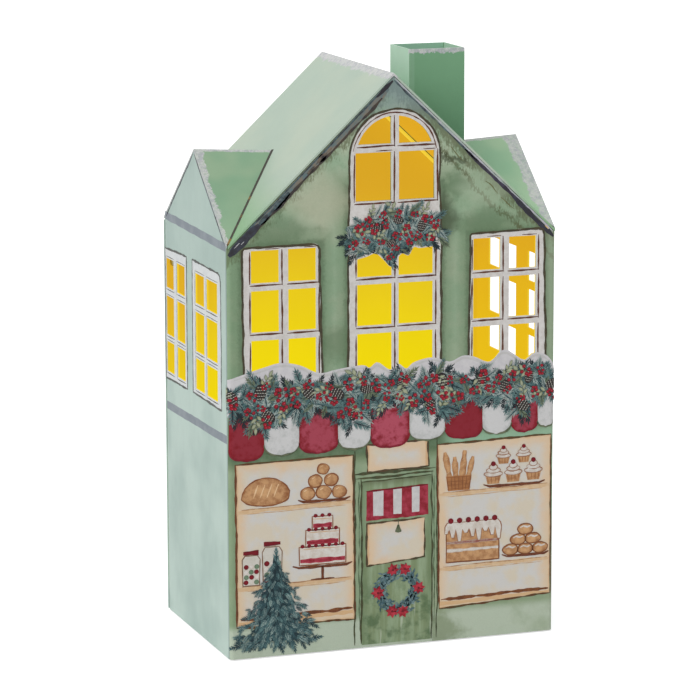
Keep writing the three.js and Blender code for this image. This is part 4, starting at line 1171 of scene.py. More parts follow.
class BAKERY_OT_stage(bpy.types.Operator):
    """Set up the camera, the floor, the even light and the soft key"""
    bl_idname = "bakery.stage"
    bl_label = "Stage"

    def execute(self, context):
        scene, stage = context.scene, context.scene.bakery_stage
        scene.view_settings.view_transform = "Standard"
        around, up = stage.azimuth, stage.elevation
        away = Vector((math.sin(around) * math.cos(up), -math.cos(around) * math.cos(up), math.sin(up)))
        target = Vector(stage.target)
        data = bpy.data.cameras.new("photo_camera")
        data.lens, data.sensor_width, data.clip_end = stage.lens, SENSOR_WIDTH, FAR_CLIP
        camera = placed("photo_camera", data)
        turn = (-away).to_track_quat("-Z", "Y").to_matrix().to_4x4() @ Matrix.Rotation(stage.roll, 4, "Z")
        camera.matrix_world = Matrix.Translation(target + away * stage.distance) @ turn
        scene.camera = camera

        lamp = bpy.data.lights.new("soft_key", "SUN")
        lamp.energy, lamp.angle = stage.key, KEY_SIZE
        placed("soft_key", lamp).matrix_world = Vector(KEY_FROM).to_track_quat("Z", "Y").to_matrix().to_4x4()

        scene.world = bpy.data.worlds.new("studio")
        scene.world.use_nodes = True
        tree = scene.world.node_tree
        tree.nodes.clear()
        rays = new_node(tree, "ShaderNodeLightPath").outputs
        seen = rays["Is Camera Ray"]
        for kind in ("Glossy", "Transmission"):
            seen = new_node(tree, "ShaderNodeMath", {"operation": "MAXIMUM"},
                            {0: seen, 1: rays[f"Is {kind} Ray"]}).outputs[0]
        level = new_node(tree, "ShaderNodeMapRange", None, {0: seen, 3: stage.sky, 4: 1.0}).outputs[0]
        sky = new_node(tree, "ShaderNodeBackground", None, {0: WHITE, 1: level})
        new_node(tree, "ShaderNodeOutputWorld", None, {0: sky.outputs[0]})

        f = Finish("studio_floor")
        seen = f.node("ShaderNodeLightPath").outputs["Is Camera Ray"]
        paper = f.mix(f.cloud(30, 2), (0.86, 0.86, 0.86), (0.88, 0.88, 0.88))
        diffuse = f.node("ShaderNodeBsdfDiffuse", None, {"Color": paper}).outputs[0]
        off, lift = (f.node("ShaderNodeEmission", None, {"Color": colour, "Strength": strength}).outputs[0]
                     for colour, strength in ((BLACK, 0.0), (WHITE, 0.6)))
        extra = f.node("ShaderNodeMixShader", None, {0: seen, 1: off, 2: lift}).outputs[0]
        total = f.node("ShaderNodeAddShader", None, {0: diffuse, 1: extra}).outputs[0]
        f.node("ShaderNodeOutputMaterial", None, {"Surface": total})
        data = bpy.data.meshes.new("studio_floor")
        corners = [(u * FLOOR_REACH, v * FLOOR_REACH, 0) for u, v in ((-1, -1), (1, -1), (1, 1), (-1, 1))]
        data.from_pydata(corners, [], [(0, 1, 2, 3)])
        data.materials.append(f.material)
        floor = placed("studio_floor", data)
        return {"FINISHED"}


def dress(node, material):
    data = NODES[node].data
    data.materials.clear()
    data.materials.append(material)


class BAKERY_OT_paint_tin(bpy.types.Operator):
    """Print the walls, the roofs and the chimney"""
    bl_idname = "bakery.paint_tin"
    bl_label = "Printed tin"

    def execute(self, context):
        paint = settings(context)[0]
        gable = gable_roof_paint(paint)
        for node, material in (("wall_wrap", wall_paint(paint)), ("rear_wall", rear_paint(paint)),
                               ("main_roof", main_roof_paint(paint)), ("left_gable_roof", gable),
                               ("right_gable_roof", gable), ("chimney", chimney_paint(paint))):
            dress(node, material)
        return {"FINISHED"}


class BAKERY_OT_finish_fittings(bpy.types.Operator):
    """Give the tray, the pads, the fasteners and the light module their finishes"""
    bl_idname = "bakery.finish_fittings"
    bl_label = "Fittings and light module"

    def execute(self, context):
        by_slot = {slot: grained(slot) for slot in GRAINED}
        by_slot.update(milky_plastic=milky_dome(), battery_sleeve=battery_sleeve(),
                       board_green=solder_mask(), led_amber=amber_led())
        for part in frame["record"]["subparts"]:
            if part["material_slot"] in by_slot:
                dress(part["node"], by_slot[part["material_slot"]])
        return {"FINISHED"}


ARCH_FOOT = 262  # the panes that reach above this have a curved top


class BAKERY_OT_print_windows(bpy.types.Operator):
    """Draw the window frames round the panes that are cut in the front and the sides"""
    bl_idname = "bakery.print_windows"
    bl_label = "Windows"

    def execute(self, context):
        paint, step = settings(context)
        sizes = context.scene.bakery_print
        line, thin = sizes.outline / MM, sizes.pane_line / MM
        white, mint_edge, tan = paint.frame_white, screen(206, 214, 206), screen(112, 66, 44)
        panes = front_panes()
        if not panes:
            raise RuntimeError("the front wall has no panes")
        drawing = Drawing(11)
        waver = drawing.chance.uniform

        def rule(path, width, uneven=0.3, wobble=0.2):
            """A brown line along a pane."""
            drawing.stroke(path, thin * width, 3 * step, paint.brown, tan, wobble=wobble, uneven=uneven)

        rule(arch(22.4, 20, 1, 20), 0.9, 0.8, 0.3)
        for name, outline in FRAMES.items():
            holes = [loop for loop in panes if inside(loop, outline)]
            drawing.panel(outline, 6, 2 * step, white, screen(196, 190, 184), holes, shade=0.8)
            drawing.stroke(outline, line * 1.25, 4 * step, paint.dark_line, screen(84, 76, 50), closed=True,
                           wobble=0.5, uneven=0.4)
            drawing.stroke([(u * 0.985 + 0.015 * sum(span(outline, 0)) / 2, v) for u, v in outline], 0.5,
                           3 * step, mint_edge, white, closed=True, wobble=0.3)
            lefts = min(span(loop, 0)[0] for loop in holes)
            for loop in holes:
                (left, right), (low, high) = span(loop, 0), span(loop, 1)
                curved = high > ARCH_FOOT
                if not (name == "middle" and low < 210 < high < 215):
                    rule([(left - 0.7, low - 1.35), (right + 2.1, low - 1.2 + waver(-0.2, 0.2))], 1.5)
                if not (curved and right > 5):
                    rule([(right + 1.75, low - 1.6), (right + 1.7, high + waver(0, 0.8))], 1.45)
                if curved:
                    continue
                drawing.stroke([(right + 0.5, low), (right + 0.5, high - 0.4)], 0.6, 2.6 * step, mint_edge,
                               white)
                if left < lefts + 1.5:
                    rule([(left - 0.7, low - 0.6), (left - 0.6, high - waver(0, 1))], 1.2, 0.5)
                if high > 205:
                    rule([(right - waver(5, 8), high + 0.7), (right + 0.6, high + 0.8)], 1)
        ink = painted_ink("line_ink", mottle=3.0, strength=0.5, edge=0.25)
        finish_drawing(drawing, "front", "front_window_frames", ink)

        for wall, way in (("left", -1), ("right", 1)):
            found = pane_loops("wall_wrap", 0, way * HALF_WIDTH)
            loops = [[(way * y, z) for x, y, z in loop] for loop in found]
            drawing = Drawing(23 + way)
            for outline in SIDE_FRAMES[wall]:
                holes = [loop for loop in loops if inside(loop, outline)]
                drawing.panel(outline, 6, 2 * step, screen(222, 225, 225), screen(204, 209, 211), holes,
                              shade=0.8)
                drawing.stroke(outline, line * 1.15, 4 * step, screen(74, 76, 70), screen(112, 114, 110),
                               closed=True, wobble=0.4, uneven=0.5)
                for loop in holes:
                    (left, right), (low, high) = span(loop, 0), span(loop, 1)
                    left, right = left - 0.9, right + 0.9
                    sill = [(left, low - 1.2), (right, low - 1.0)]
                    post = [(left, low - 1), (left, high + 0.6)]
                    head = [(left, high + 0.9), (right, high + 0.9)]
                    for path, width, grey in ((sill, 0.8, (92, 88, 80)), (post, 0.8, (112, 108, 100)),
                                              (head, 0.7, (130, 128, 122))):
                        drawing.stroke(path, thin * width, 3 * step, screen(*grey))
            finish_drawing(drawing, wall, f"{wall}_window_frames", ink)
        return {"FINISHED"}


def roof_valleys(name, material):
    """Narrow dark strips over the four gaps between the main roof and the roofs of the side gables: painted
    shade that stands for the dark of the gaps.
    """
    mesh = bmesh.new()
    for way, side in ((-1, -1), (-1, 1), (1, -1), (1, 1)):
        edges, rows = [], []
        for (top_x, top_z), (low_x, low_z, depth) in (NOTCH_EDGE, GABLE_EDGE):
            top = Vector((way * top_x, MIDDLE, top_z))
            low = Vector((way * low_x, MIDDLE + side * depth, low_z))
            edges.append((top.lerp(low, 0.004), top.lerp(low, 0.985)))
        for edge, normal in zip(edges, (Vector((way * SLOPE, 0, 1)), Vector((0, side * SIDE_SLOPE, 1)))):
            normal.normalize()
            away = (edge[1] - edge[0]).cross(normal).normalized()
            away *= VALLEY_SHADE_REACH if away.z > 0 else -VALLEY_SHADE_REACH
            rows.append([spot + away + normal * 0.07 for spot in edge])
        middle = [(a + b) / 2 for a, b in zip(*edges)]
        rows.insert(1, [spot + Vector((0, 0, 0.16)) for spot in middle])
        rows.append([spot - Vector((0, 0, 0.4)) for spot in middle])
        tops, lows = ([mesh.verts.new(row[end] * MM) for row in rows] for end in (0, 1))
        for k in range(4):
            mesh.faces.new((tops[k], tops[(k + 1) % 4], lows[(k + 1) % 4], lows[k]))
        mesh.faces.new(tops[::-1])
        mesh.faces.new(lows)
    bmesh.ops.recalc_face_normals(mesh, faces=mesh.faces[:])
    data = bpy.data.meshes.new(name)
    mesh.to_mesh(data)
    mesh.free()
    data.materials.append(material)
    piece = placed(name, data)
    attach(piece, "house")


def valley_shade_paint():
    """Painted shade of a gap between the roofs, with patches of painted lamp light in gold."""
    f = Finish("roof_seams")
    gold = f.cloud(9, 3, 0.6).rise(0.5, 0.66)
    return printed(f, f.mix(gold, screen(50, 46, 36), screen(132, 104, 44)), gloss=BARE_GLOSS)


class BAKERY_OT_print_edges(bpy.types.Operator):
    """Draw the dark edges under the roofs and the belts round the side walls"""
    bl_idname = "bakery.print_edges"
    bl_label = "Roof edges and belts"

    def execute(self, context):
        paint, step = settings(context)
        coal, teal, tan = paint.charcoal, screen(96, 118, 122), screen(136, 122, 106)
        glint = screen(214, 216, 218)

        def rake(side, start, end, under, width, ink, tint, level, **more):
            """A line at a set distance under the front's roof edge, from one width of the wall to another."""
            path = [(side * across, RIDGE - SLOPE * across - under / PITCH)
                    for across in (start, (start + end) / 2, end)]
            drawing.stroke(path, width, level * step, ink, tint, **more)

        drawing = Drawing(31)
        rake(-1, 84, 3, 3.5, 2.6, teal, tan, 1, uneven=0.5, taper=0.6)
        rake(-1, 86.5, 2, 2.0, 0.9, coal, teal, 2, wobble=0.3)
        rake(-1, 85.5, 6, 5.0, 1.3, coal, screen(84, 74, 60), 2, wobble=0.6, uneven=0.6)
        rake(-1, 87, 71, 3.9, 4.0, coal, screen(62, 66, 78), 3, wobble=0.3, uneven=0.4)
        rake(-1, 72, 55, 4.0, 2.4, coal, teal, 2, wobble=0.4, uneven=0.9)
        rake(-1, 46, 33, 3.6, 1.8, coal, tan, 2, wobble=0.4, uneven=0.9)
        rake(-1, 9, 0.6, 2.4, 2.0, coal, coal, 3, wobble=0.2)
        rake(-1, 84.2, 81.5, 3.0, 1.0, glint, glint, 4, wobble=0.2, uneven=0.6)
        rake(-1, 80.5, 79, 4.3, 0.5, glint, glint, 4, wobble=0.2)
        rake(1, 0.5, 86.5, 1.7, 0.9, screen(190, 186, 196), screen(160, 176, 170), 1, wobble=0.2)
        rake(1, 0, 45, 2.6, 0.7, coal, teal, 2, wobble=0.25, uneven=0.7)
        rake(1, 38, 74, 2.8, 1.6, coal, screen(70, 66, 84), 2, wobble=0.25, uneven=0.3)
        rake(1, 64, 87, 3.3, 2.6, coal, screen(58, 60, 72), 3, wobble=0.25, uneven=0.25)
        rake(1, 82, 84, 2.4, 0.8, screen(226, 180, 90), glint, 4, wobble=0.1)
        for across in (12, 30, 49, 58):
            rake(1, across, across + 7, 7.5, 0.6, screen(98, 100, 62), screen(120, 122, 84), 1, wobble=1.6)
        # painted shade, with patches of painted lamp light, over the valleys between the roofs
        roof_valleys("roof_valley_seams", valley_shade_paint())
        ink = painted_ink("edge_ink", mottle=4.0, strength=0.8, edge=0.3)
        finish_drawing(drawing, "front", "front_roof_edges", ink)

        belt_ink = painted_ink("belt_ink", mottle=11.0, strength=0.6, edge=0.0)
        for wall, way in (("left", 1), ("right", -1), ("rear", 0)):
            drawing = Drawing(37 + way)
            belts = [[(-83, level), (0, level + 0.6), (83, level)] for level in (213.4, 112.3)]
            eaves = [[(side * 84, RIDGE - SLOPE * 84 - 2.6), (0, RIDGE - 2.6)][::side] for side in (-1, 1)]
            if way:
                belts = [[(-way * 52.2, level), (0, level - drop), (way * 53.6, level - 2 * drop)]
                         for level, drop in ((213.4, 0.85), (112.3, -0.9))]
                eaves = [[(0.5 * way + side, SIDE_TOP - 2.6), (0.5 * way + side * 51, 213.0)]
                         for side in (-1, 1)]
            for path in belts:
                drawing.stroke(path, 4.3, step, paint.belt, screen(152, 160, 166), taper=1.0, wobble=0.35,
                               uneven=0.05, step=4)
            for path in eaves:
                drawing.stroke(path, 0.9, 2 * step, coal, paint.belt, wobble=0.3)
            finish_drawing(drawing, wall, f"{wall}_belts", belt_ink)
        return {"FINISHED"}


class BAKERY_OT_print_snow(bpy.types.Operator):
    """Draw the snow that lies on the garland, up to the lower edges of the panes"""
    bl_idname = "bakery.print_snow"
    bl_label = "Snow bank"

    def execute(self, context):
        paint, step = settings(context)
        crest = curve_through(SNOW_CRESTS, 72)
        drawing = Drawing(41)
        drawing.panel([(-88.6, 126), *[(u * 1.006, v) for u, v in crest], (88.6, 126)], 7, 5 * step,
                      paint.snow, screen(192, 190, 196), shade=0.75)
        drawing.stroke([(u, v - 1.4) for u, v in crest if abs(u) < 87], 1.0, 5.4 * step,
                       screen(204, 202, 202), screen(184, 184, 180), wobble=0.4, step=2.4)
        finish_drawing(drawing, "front", "snow_bank",
                       painted_ink("snow_ink", mottle=5.0, strength=0.5, edge=0.3))
        return {"FINISHED"}


class BAKERY_OT_print_awning(bpy.types.Operator):
    """Draw the red and white scallops of the awning"""
    bl_idname = "bakery.print_awning"
    bl_label = "Awning"

    def execute(self, context):
        paint, step = settings(context)
        drawing = Drawing(43)
        for index, (left, right, foot) in enumerate(zip(SCALLOPS, SCALLOPS[1:], SCALLOP_FEET)):
            red, middle = index % 2 == 0, (left + right) / 2
            half = (right - left) / 2 + (0.35 if red else -0.1)
            corner = min(6.5, half * 0.72)
            outline = [(middle + half * 0.94, 129)]
            for side in (1, -1):
                for k in range(9):
                    angle = -math.pi / 2 * k / 8 - (math.pi / 2 if side < 0 else 0)
                    outline.append((middle + side * half - side * corner + corner * math.cos(angle),
                                    foot + corner * 0.9 + corner * 0.9 * math.sin(angle)))
                if side > 0:
                    outline.append((middle, foot - 0.5))
            outline.append((middle - half * 0.94, 129))
            looks = (6, screen(188, 190, 188), screen(210, 210, 210), 0.8, screen(74, 86, 62),
                     screen(112, 118, 92))
            if red:
                wash = SCALLOP_WASH[index // 2]
                blush = tuple(a + (b - a) * wash for a, b in zip(paint.red, paint.red_wash))
                looks = (7, paint.red, blush, 0.7, screen(104, 14, 32), screen(134, 22, 44))
            level, ink, tint, width, first, second = looks
            drawing.blob(outline, level * step, ink, tint,
                         rings=((1, 0.0), (0.93, 0.35), (0.75, 0.75), (0.4, 0.95)))
            drawing.stroke(outline[1:-1], width, 7.5 * step, first, second, wobble=0.3, uneven=0.7)
        ink = painted_ink("awning_ink", mottle=3.6, strength=1.0, edge=0.34, pooled=True)
        finish_drawing(drawing, "front", "awning_scallops", ink)
        return {"FINISHED"}


def garland_items(paint, scale):
    """The drawn items of a garland: sprigs in five greens, leaves, a cone and berries."""
    return {
        "under": sprig(scale, 9, screen(8, 20, 26), screen(26, 52, 58), 2, thick=0.034),
        "sprig": sprig(scale, 14, paint.needle, paint.needle_light, 3, thick=0.026),
        "frost": sprig(scale * 0.95, 10, screen(36, 70, 78), screen(216, 228, 220), 12, spread=0.65,
                       thick=0.024),
        "burst": sprig(scale * 0.72, 9, screen(12, 30, 40), screen(96, 138, 140), 5, spread=1.0, thick=0.032),
        "moss": sprig(scale * 0.85, 9, screen(50, 66, 52), screen(140, 152, 124), 8, thick=0.034),
        "leaves": leaf_spray(scale * 0.95, paint.leaf, screen(88, 96, 68), 6),
        "cone": cone(scale * 0.8, screen(34, 32, 32), screen(216, 214, 204), 4),
        "berries": berry_cluster(scale * 0.21, screen(166, 20, 40), screen(84, 6, 22), screen(60, 44, 30), 9),
    }


# Each layer of a garland: spacing, smallest and largest size, how high over the base it starts and ends,
# and what is added to the seed
LAYERS = {
    "under": (0.8, 0.7, 1.05, 0, 0.06, 7), "sprig": (1.15, 0.8, 1.15, 0.04, 0.16, 1),
    "frost": (1.7, 0.8, 1.15, 0.1, 0.2, 8), "burst": (1.6, 0.8, 1.2, 0.06, 0.2, 2),
    "moss": (2.6, 0.8, 1.2, 0.08, 0.2, 3), "cone": (5.4, 0.85, 1.15, 0.18, 0.22, 5),
    "leaves": (5.2, 0.75, 1.15, 0.2, 0.26, 4), "berries": (2.9, 0.75, 1.2, 0.24, 0.3, 6),
}


def greenery(name, base, fields, paint, sizes, ink, low, share, shift):
    """Lays a garland over a dark base, cut at the panes. It is scattered over three fields:
    for most items, for the cones, and for the darkest sprigs."""
    field, inner, fringe = fields
    drawing = Drawing()
    drawing.plate(base, low, screen(10, 22, 26), screen(22, 42, 46), shade=0.6)
    parts = [drawing.mesh_data("garland_base")]
    items = garland_items(paint, sizes.sprig_length / MM * share)
    spacing = sizes.sprig_gap / MM * share
    for item, (gap, small, large, lowest, highest, number) in LAYERS.items():
        place = {"under": fringe, "cone": inner}.get(item, field)
        parts.append(scattered(place, items[item], ink, Spacing=spacing * gap, Smallest=small, Largest=large,
                               Turn=math.pi, Lowest=low + lowest, Highest=low + highest,
                               Seed=sizes.seed + shift + number))
    for data in items.values():
        bpy.data.meshes.remove(data)
    lay(trimmed(joined(parts, name), front_panes()), "front", name, ink)


class BAKERY_OT_print_garland(bpy.types.Operator):
    """Scatter the garland over the awning and the swag on the middle window"""
    bl_idname = "bakery.print_garland"
    bl_label = "Garland and swag"

    def execute(self, context):
        paint, sizes = settings(context)[0], context.scene.bakery_print
        ink = painted_ink("greenery_ink", mottle=2.2, strength=0.25, edge=0.7, toned=0.42)
        upper, lower = [], []
        for k in range(45):
            u = -86.5 + 173 * k / 44
            phase = (u + 71) / 46.7 * math.tau
            upper.insert(0, (u, 138.6 + 1.8 * math.sin(phase * 2 + 0.7) + 1.4 * math.sin(u * 0.33)))
            droop = max(0.0, math.cos(phase)) ** 3
            lower.append((u, 127.4 - 8.5 * droop + 1.4 * math.sin(u * 0.41 + 1)))
        base = [(u * 0.995, v + 2.5) for u, v in lower] + [(u * 0.995, v - 3) for u, v in upper]
        inner = [(u, v + 3) for u, v in lower] + [(u, v - 3) for u, v in upper]
        greenery("garland", base, (lower + upper, inner, lower + upper), paint, sizes, ink, 0.24, 1, 0)

        crest = curve_through(SWAG_CRESTS, 40)
        field = [(-20, 207), *[(u, v + 3.4) for u, v in crest], *SWAG_TOP]
        inner = [(u * 0.7, 216.8 + (v - 216.8) * 0.6) for u, v in field]
        fringe = [(-21, 205), *[(u, v + 1.4) for u, v in crest], (24, 209), (25, 214), (-25, 214), (-25, 208)]
        base = [(-22, 207.5), *[(u, v + (0.3 if abs(u + 2) < 4 else 2.0)) for u, v in crest], (22, 210)]
        base += [(u * 0.9, 215 + (v - 215) * 0.8) for u, v in SWAG_TOP]
        greenery("arch_swag", base, (field, inner, fringe), paint, sizes, ink, 0.16, 0.86, 40)
        return {"FINISHED"}


TREE_MIDDLE = -63.4
# Height and half width of each bough, from the lowest up
BOUGHS = ((9, 20.5), (13.5, 19), (18, 18.5), (22.5, 15.5), (27, 14.5), (31.5, 11.5), (36, 10.5),
          (40.5, 7), (44.5, 5), (48.5, 2.6))
# The sprigs of a bough: two colours, how sparse, and how large
TREE_SPRIGS = (((20, 40, 48), (62, 98, 104), 1.0, 1.0), ((34, 66, 74), (110, 146, 146), 1.35, 0.9),
               ((52, 86, 92), (166, 188, 182), 1.9, 0.75))


class BAKERY_OT_print_tree(bpy.types.Operator):
    """Scatter the fir tree in the lower left corner of the front"""
    bl_idname = "bakery.print_tree"
    bl_label = "Fir tree"

    def execute(self, context):
        sizes = context.scene.bakery_print
        ink = painted_ink("fir_ink", mottle=5.0, strength=0.6, edge=0.5, toned=0.3)
        navy = screen(20, 40, 48)
        base = Drawing(59)
        side = [(1.2, 53)]
        for low, half in reversed(BOUGHS):
            side += [(half * 0.7, low + 1.2), (half * 0.5, low - 0.4)]
        outline = [(TREE_MIDDLE + u, v) for u, v in side] + [(TREE_MIDDLE - u, v) for u, v in reversed(side)]
        base.plate([(u, max(v, 5)) for u, v in outline], 0.2, navy, screen(34, 58, 64), shade=0.6)
        parts = [base.mesh_data("tree_base")]
        for index, (low, half) in enumerate(BOUGHS):
            size = 6.4 - 0.28 * index
            field = [(TREE_MIDDLE + half * share, low + up)
                     for share, up in ((-1, -1), (1, -1), (0.25, 3.5), (-0.25, 3.5))]
            for kind, (first, second, sparse, share) in enumerate(TREE_SPRIGS):
                number, lift = index * 3 + kind, 0.02 * index + 0.05 * kind
                item = sprig(size * share, 6, screen(*first), screen(*second), 60 + number, spread=0.7)
                parts.append(scattered(
                    field, item, ink, Spacing=sizes.tree_gap / MM * sparse, Density=2.0, Smallest=0.6,
                    Largest=1.15, Turn=0.75, Aim=(TREE_MIDDLE, low + 5 + half * 0.3, 0), Follow=1.0,
                    Lowest=0.2 + lift, Highest=0.3 + lift, Seed=sizes.seed + 80 + number))
                bpy.data.meshes.remove(item)
        leader = sprig(8, 6, navy, screen(96, 132, 134), 97, spread=0.5)
        leader.transform(Matrix.Translation((TREE_MIDDLE, 49.5, 0.45)) @ Matrix.Rotation(math.pi / 2, 4, "Z"))
        parts.append(leader)
        lay(joined(parts, "tree_flat"), "front", "fir_tree", ink)
        return {"FINISHED"}


def panel_ink(name, low_u, high_u, low_v, high_v, paint):
    """Cream wash that is warmer towards the edges of its panel."""
    f = Finish(name)
    x, y, z = f.axes()
    cloud, fine = f.cloud(14, 3, 0.6, shift=(low_u * 0.1, 0, 0)), f.cloud(4, 4, 0.65)
    rim = (x - low_u).at_most(high_u - x).at_most((z - low_v).at_most(high_v - z))
    colour = f.mix(cloud.rise(0.42, 0.62) * 0.75, paint.cream, screen(218, 205, 180))
    warm = (rim + (cloud - 0.5) * 16 + (fine - 0.5) * 4).rise(8.5, 0.5)
    colour = f.mix(warm * 0.85, colour, paint.cream_warm)
    colour = f.mix((rim + (fine - 0.5) * 2).rise(1.6, 0.3) * 0.6, colour, screen(206, 158, 108))
    return printed(f, f.tone(colour, 0.93 + f.weave() * 0.07))


def door_wash(paint):
    """Green of the door, streaked along its boards and darker round its edges."""
    f = Finish("door_wash")
    x, y, z = f.axes()
    grain, blotch = f.cloud(5, 4, 0.65, (1, 1, 0.12)), f.cloud(11, 4, 0.65)
    streak = f.cloud(2.2, 2, 0.5, (1, 1, 0.08)).rise(0.62, 0.72) * z.rise(34, 24)
    colour = f.mix(grain.rise(0.35, 0.65), paint.door_green, screen(150, 170, 138))
    for amount, tint in ((blotch.rise(0.46, 0.64) * z.rise(44, 20) * 0.8, (80, 106, 72)),
                         (z.rise(84, 88) * 0.6, (92, 98, 70)),
                         ((x - 1.7).size().rise(14, 20) * 0.5, (98, 122, 88)),
                         (streak * 0.5, (196, 206, 186))):
        colour = f.mix(amount, colour, screen(*tint))
    return printed(f, colour)


# The two shop windows: corners from the top left round, and the heights of the shelves
SHOP_WINDOWS = {
    "left": ([(-84.4, 101.5), (-21.8, 102.3), (-21.2, 16.4), (-84.3, 16.9)], (78.0, 38.0)),
    "right": ([(23.8, 104.1), (86.4, 105.4), (86.6, 21.0), (24.7, 17.6)], (78.6, 39.5)),
}
# Lines across a shop window: how far each end is from its side and how high it is, width, layer,
# two colours, and how the pen moves
SHELF_LINES = (
    (3, 0.1, -2, 0.9, 0.45, 3, (156, 108, 74), (212, 178, 138), {"wobble": 0.4, "uneven": 0.7}),
    (6, -2.2, -5, -1.4, 0.35, 3, (190, 150, 112), (212, 178, 138), {"wobble": 0.4, "uneven": 0.7}),
)
FOOT_LINES = (
    (2, 4.6, -1, 6.1, 1.5, 3, (98, 56, 34), (150, 92, 52), {"wobble": 0.5, "uneven": 0.6}),
    (1, 2.53, -1, 4.03, 2.0, 2, (216, 178, 134), (212, 178, 138), {"taper": 0.9, "wobble": 0.3}),
)
# The edges of a shop window: from corner, to corner, width, second colour
SHOP_EDGES = ((0, 1, 0.95, (70, 84, 50)), (1, 2, 0.9, (70, 74, 44)), (0, 3, 1.0, (120, 76, 44)),
              (3, 2, 0.95, (66, 78, 46)))
DOOR = ((-17.6, 2.2), (20.8, 2.2), (21.0, 88.5), (-17.4, 88.0))
# The plain panels of the door: name, corners of the wash, corners of the line round it
DOOR_PANELS = (
    ("transom", ((-14.3, 106.5), (18.6, 107.2), (18.6, 93.6), (-14.0, 92.8)),
     ((-14.6, 106.6), (18.8, 107.3), (18.9, 93.4), (-14.2, 92.6))),
    ("door_panel", ((-14.2, 65.4), (16.8, 66.6), (16.4, 46.2), (-14.4, 43.6)),
     ((-14.5, 65.5), (17.0, 66.8), (16.6, 46.0), (-14.7, 43.4))),
)
BLIND_EDGES = (-14.7, -11.3, -5.6, -0.4, 4.3, 9.7, 14.0, 18.6)
BELL = [(1.9, 64.0), (1.5, 62.6), (0.7, 60.9), (0.8, 60.2), (2.4, 59.8), (4.0, 60.2), (4.1, 60.9),
        (3.3, 62.6), (2.9, 64.0)]


class BAKERY_OT_print_shop_front(bpy.types.Operator):
    """Draw the two shop windows, and the door with its transom, blind and plain panels"""
    bl_idname = "bakery.print_shop_front"
    bl_label = "Shop windows and door"

    def execute(self, context):
        paint, step = settings(context)
        lines = painted_ink("shop_line_ink", mottle=4.0, strength=0.6, edge=0.25)
        self.windows(paint, step, lines)
        self.door(paint, step, lines)
        self.blind(paint, step)
        return {"FINISHED"}

    def windows(self, paint, step, lines):
        brown, tan = screen(98, 56, 34), screen(212, 178, 138)
        for name, (outline, shelves) in SHOP_WINDOWS.items():
            (low_u, high_u), (low_v, high_v) = span(outline, 0), span(outline, 1)
            panel = Drawing(61)
            panel.panel(outline, 8, step, WHITE)
            finish_drawing(panel, "front", f"{name}_shop_panel",
                           panel_ink(f"{name}_panel_wash", low_u, high_u, low_v, high_v, paint))
            drawing = Drawing(67)

            def rules(table, level):
                for left, low, right, high, width, layer, ink, tint, pen in table:
                    drawing.stroke([(low_u + left, level + low), (high_u + right, level + high)], width,
                                   layer * step, screen(*ink), screen(*tint), **pen)

            for level in shelves:
                middle = (low_u + high_u) / 2
                drawing.stroke([(low_u + 1, level - 1), (middle, level - 0.4), (high_u - 1, level)], 2.0,
                               2 * step, tan, screen(226, 200, 166), taper=0.8, wobble=0.5)
                rules(SHELF_LINES, level)
            rules(FOOT_LINES, low_v)
            for start, end, width, second in SHOP_EDGES:
                drawing.stroke([outline[start], outline[end]], width, 4 * step, brown, screen(*second),
                               wobble=0.4, uneven=0.5)
            finish_drawing(drawing, "front", f"{name}_shop_frame", lines)

    def door(self, paint, step, lines):
        moss = screen(58, 70, 46)
        leaf = Drawing(71)
        leaf.panel(DOOR, 8, step, paint.door_green, shade=0.6)
        finish_drawing(leaf, "front", "door_leaf", door_wash(paint))
        drawing = Drawing(79)
        for across, top, width in ((-21.3, 104, 0.9), (-17.7, 90, 1.0), (20.6, 90, 0.75), (23.4, 108, 0.6)):
            drawing.stroke([(across, top), (across + 0.3, 45), (across, 2.6)], width, 3 * step, moss,
                           screen(84, 78, 50), wobble=0.6, uneven=0.6)
        for start, end, level, width in ((-21, 23, 91.6, 1.3), (-20.5, 21.5, 89.2, 0.9),
                                         (-17, 20.4, 87.6, 0.7)):
            drawing.stroke([(start, level), (end, level + 1.2)], width, 4 * step, moss, screen(92, 84, 56),
                           wobble=0.6, uneven=0.6)
        for name, corners, edge in DOOR_PANELS:
            panel = Drawing(73)
            panel.panel(corners, 6, 2 * step, WHITE)
            low, high = span(corners, 1)
            finish_drawing(panel, "front", name,
                           panel_ink(f"{name}_wash", -14.3, 18.2, low - 1, high + 1, paint))
            drawing.stroke(edge, 0.8, 5 * step, screen(88, 62, 44), moss, closed=True, wobble=0.5, uneven=0.9)
        for side in (-18.9, 21.9):
            drawing.stroke([(side, 88), (side + 0.2, 10)], 0.45, 3 * step, screen(96, 116, 86), moss,
                           wobble=0.5, uneven=0.9)
        finish_drawing(drawing, "front", "door_lines", lines)

    def blind(self, paint, step):
        drawing = Drawing(83)
        red, wash = paint.red, screen(176, 60, 80)
        for index, (left, right) in enumerate(zip(BLIND_EDGES, BLIND_EDGES[1:])):
            pale = (4, screen(214, 213, 212), screen(196, 194, 194))
            layer, ink, tint = pale if index % 2 else (5, red, wash)
            rise = 0.04 * (left + 14)
            stripe = ((left - 0.1, 69.2), (right + 0.1, 69.4), (right, 83 + rise), (left, 82.6 + rise))
            drawing.panel(stripe, 4, layer * step, ink, tint, shade=0.4)
        drawing.stroke([(-14.9, 68.4), (2, 68.6), (18.8, 69.2)], 2.3, 6 * step, red, wash, taper=0.9,
                       wobble=0.3)
        drawing.stroke([(-14.8, 82.6), (18.6, 83.9)], 0.9, 6 * step, screen(92, 14, 30), red, wobble=0.3)
        drawing.stroke([(2.3, 67.2), (2.4, 64.0)], 0.5, 6 * step, screen(96, 104, 84), screen(58, 70, 46),
                       step=0.8)
        drawing.blob(BELL, 6 * step, screen(110, 118, 92), screen(58, 70, 48))
        finish_drawing(drawing, "front", "striped_blind",
                       painted_ink("blind_ink", mottle=4.0, strength=0.8, edge=0.2))


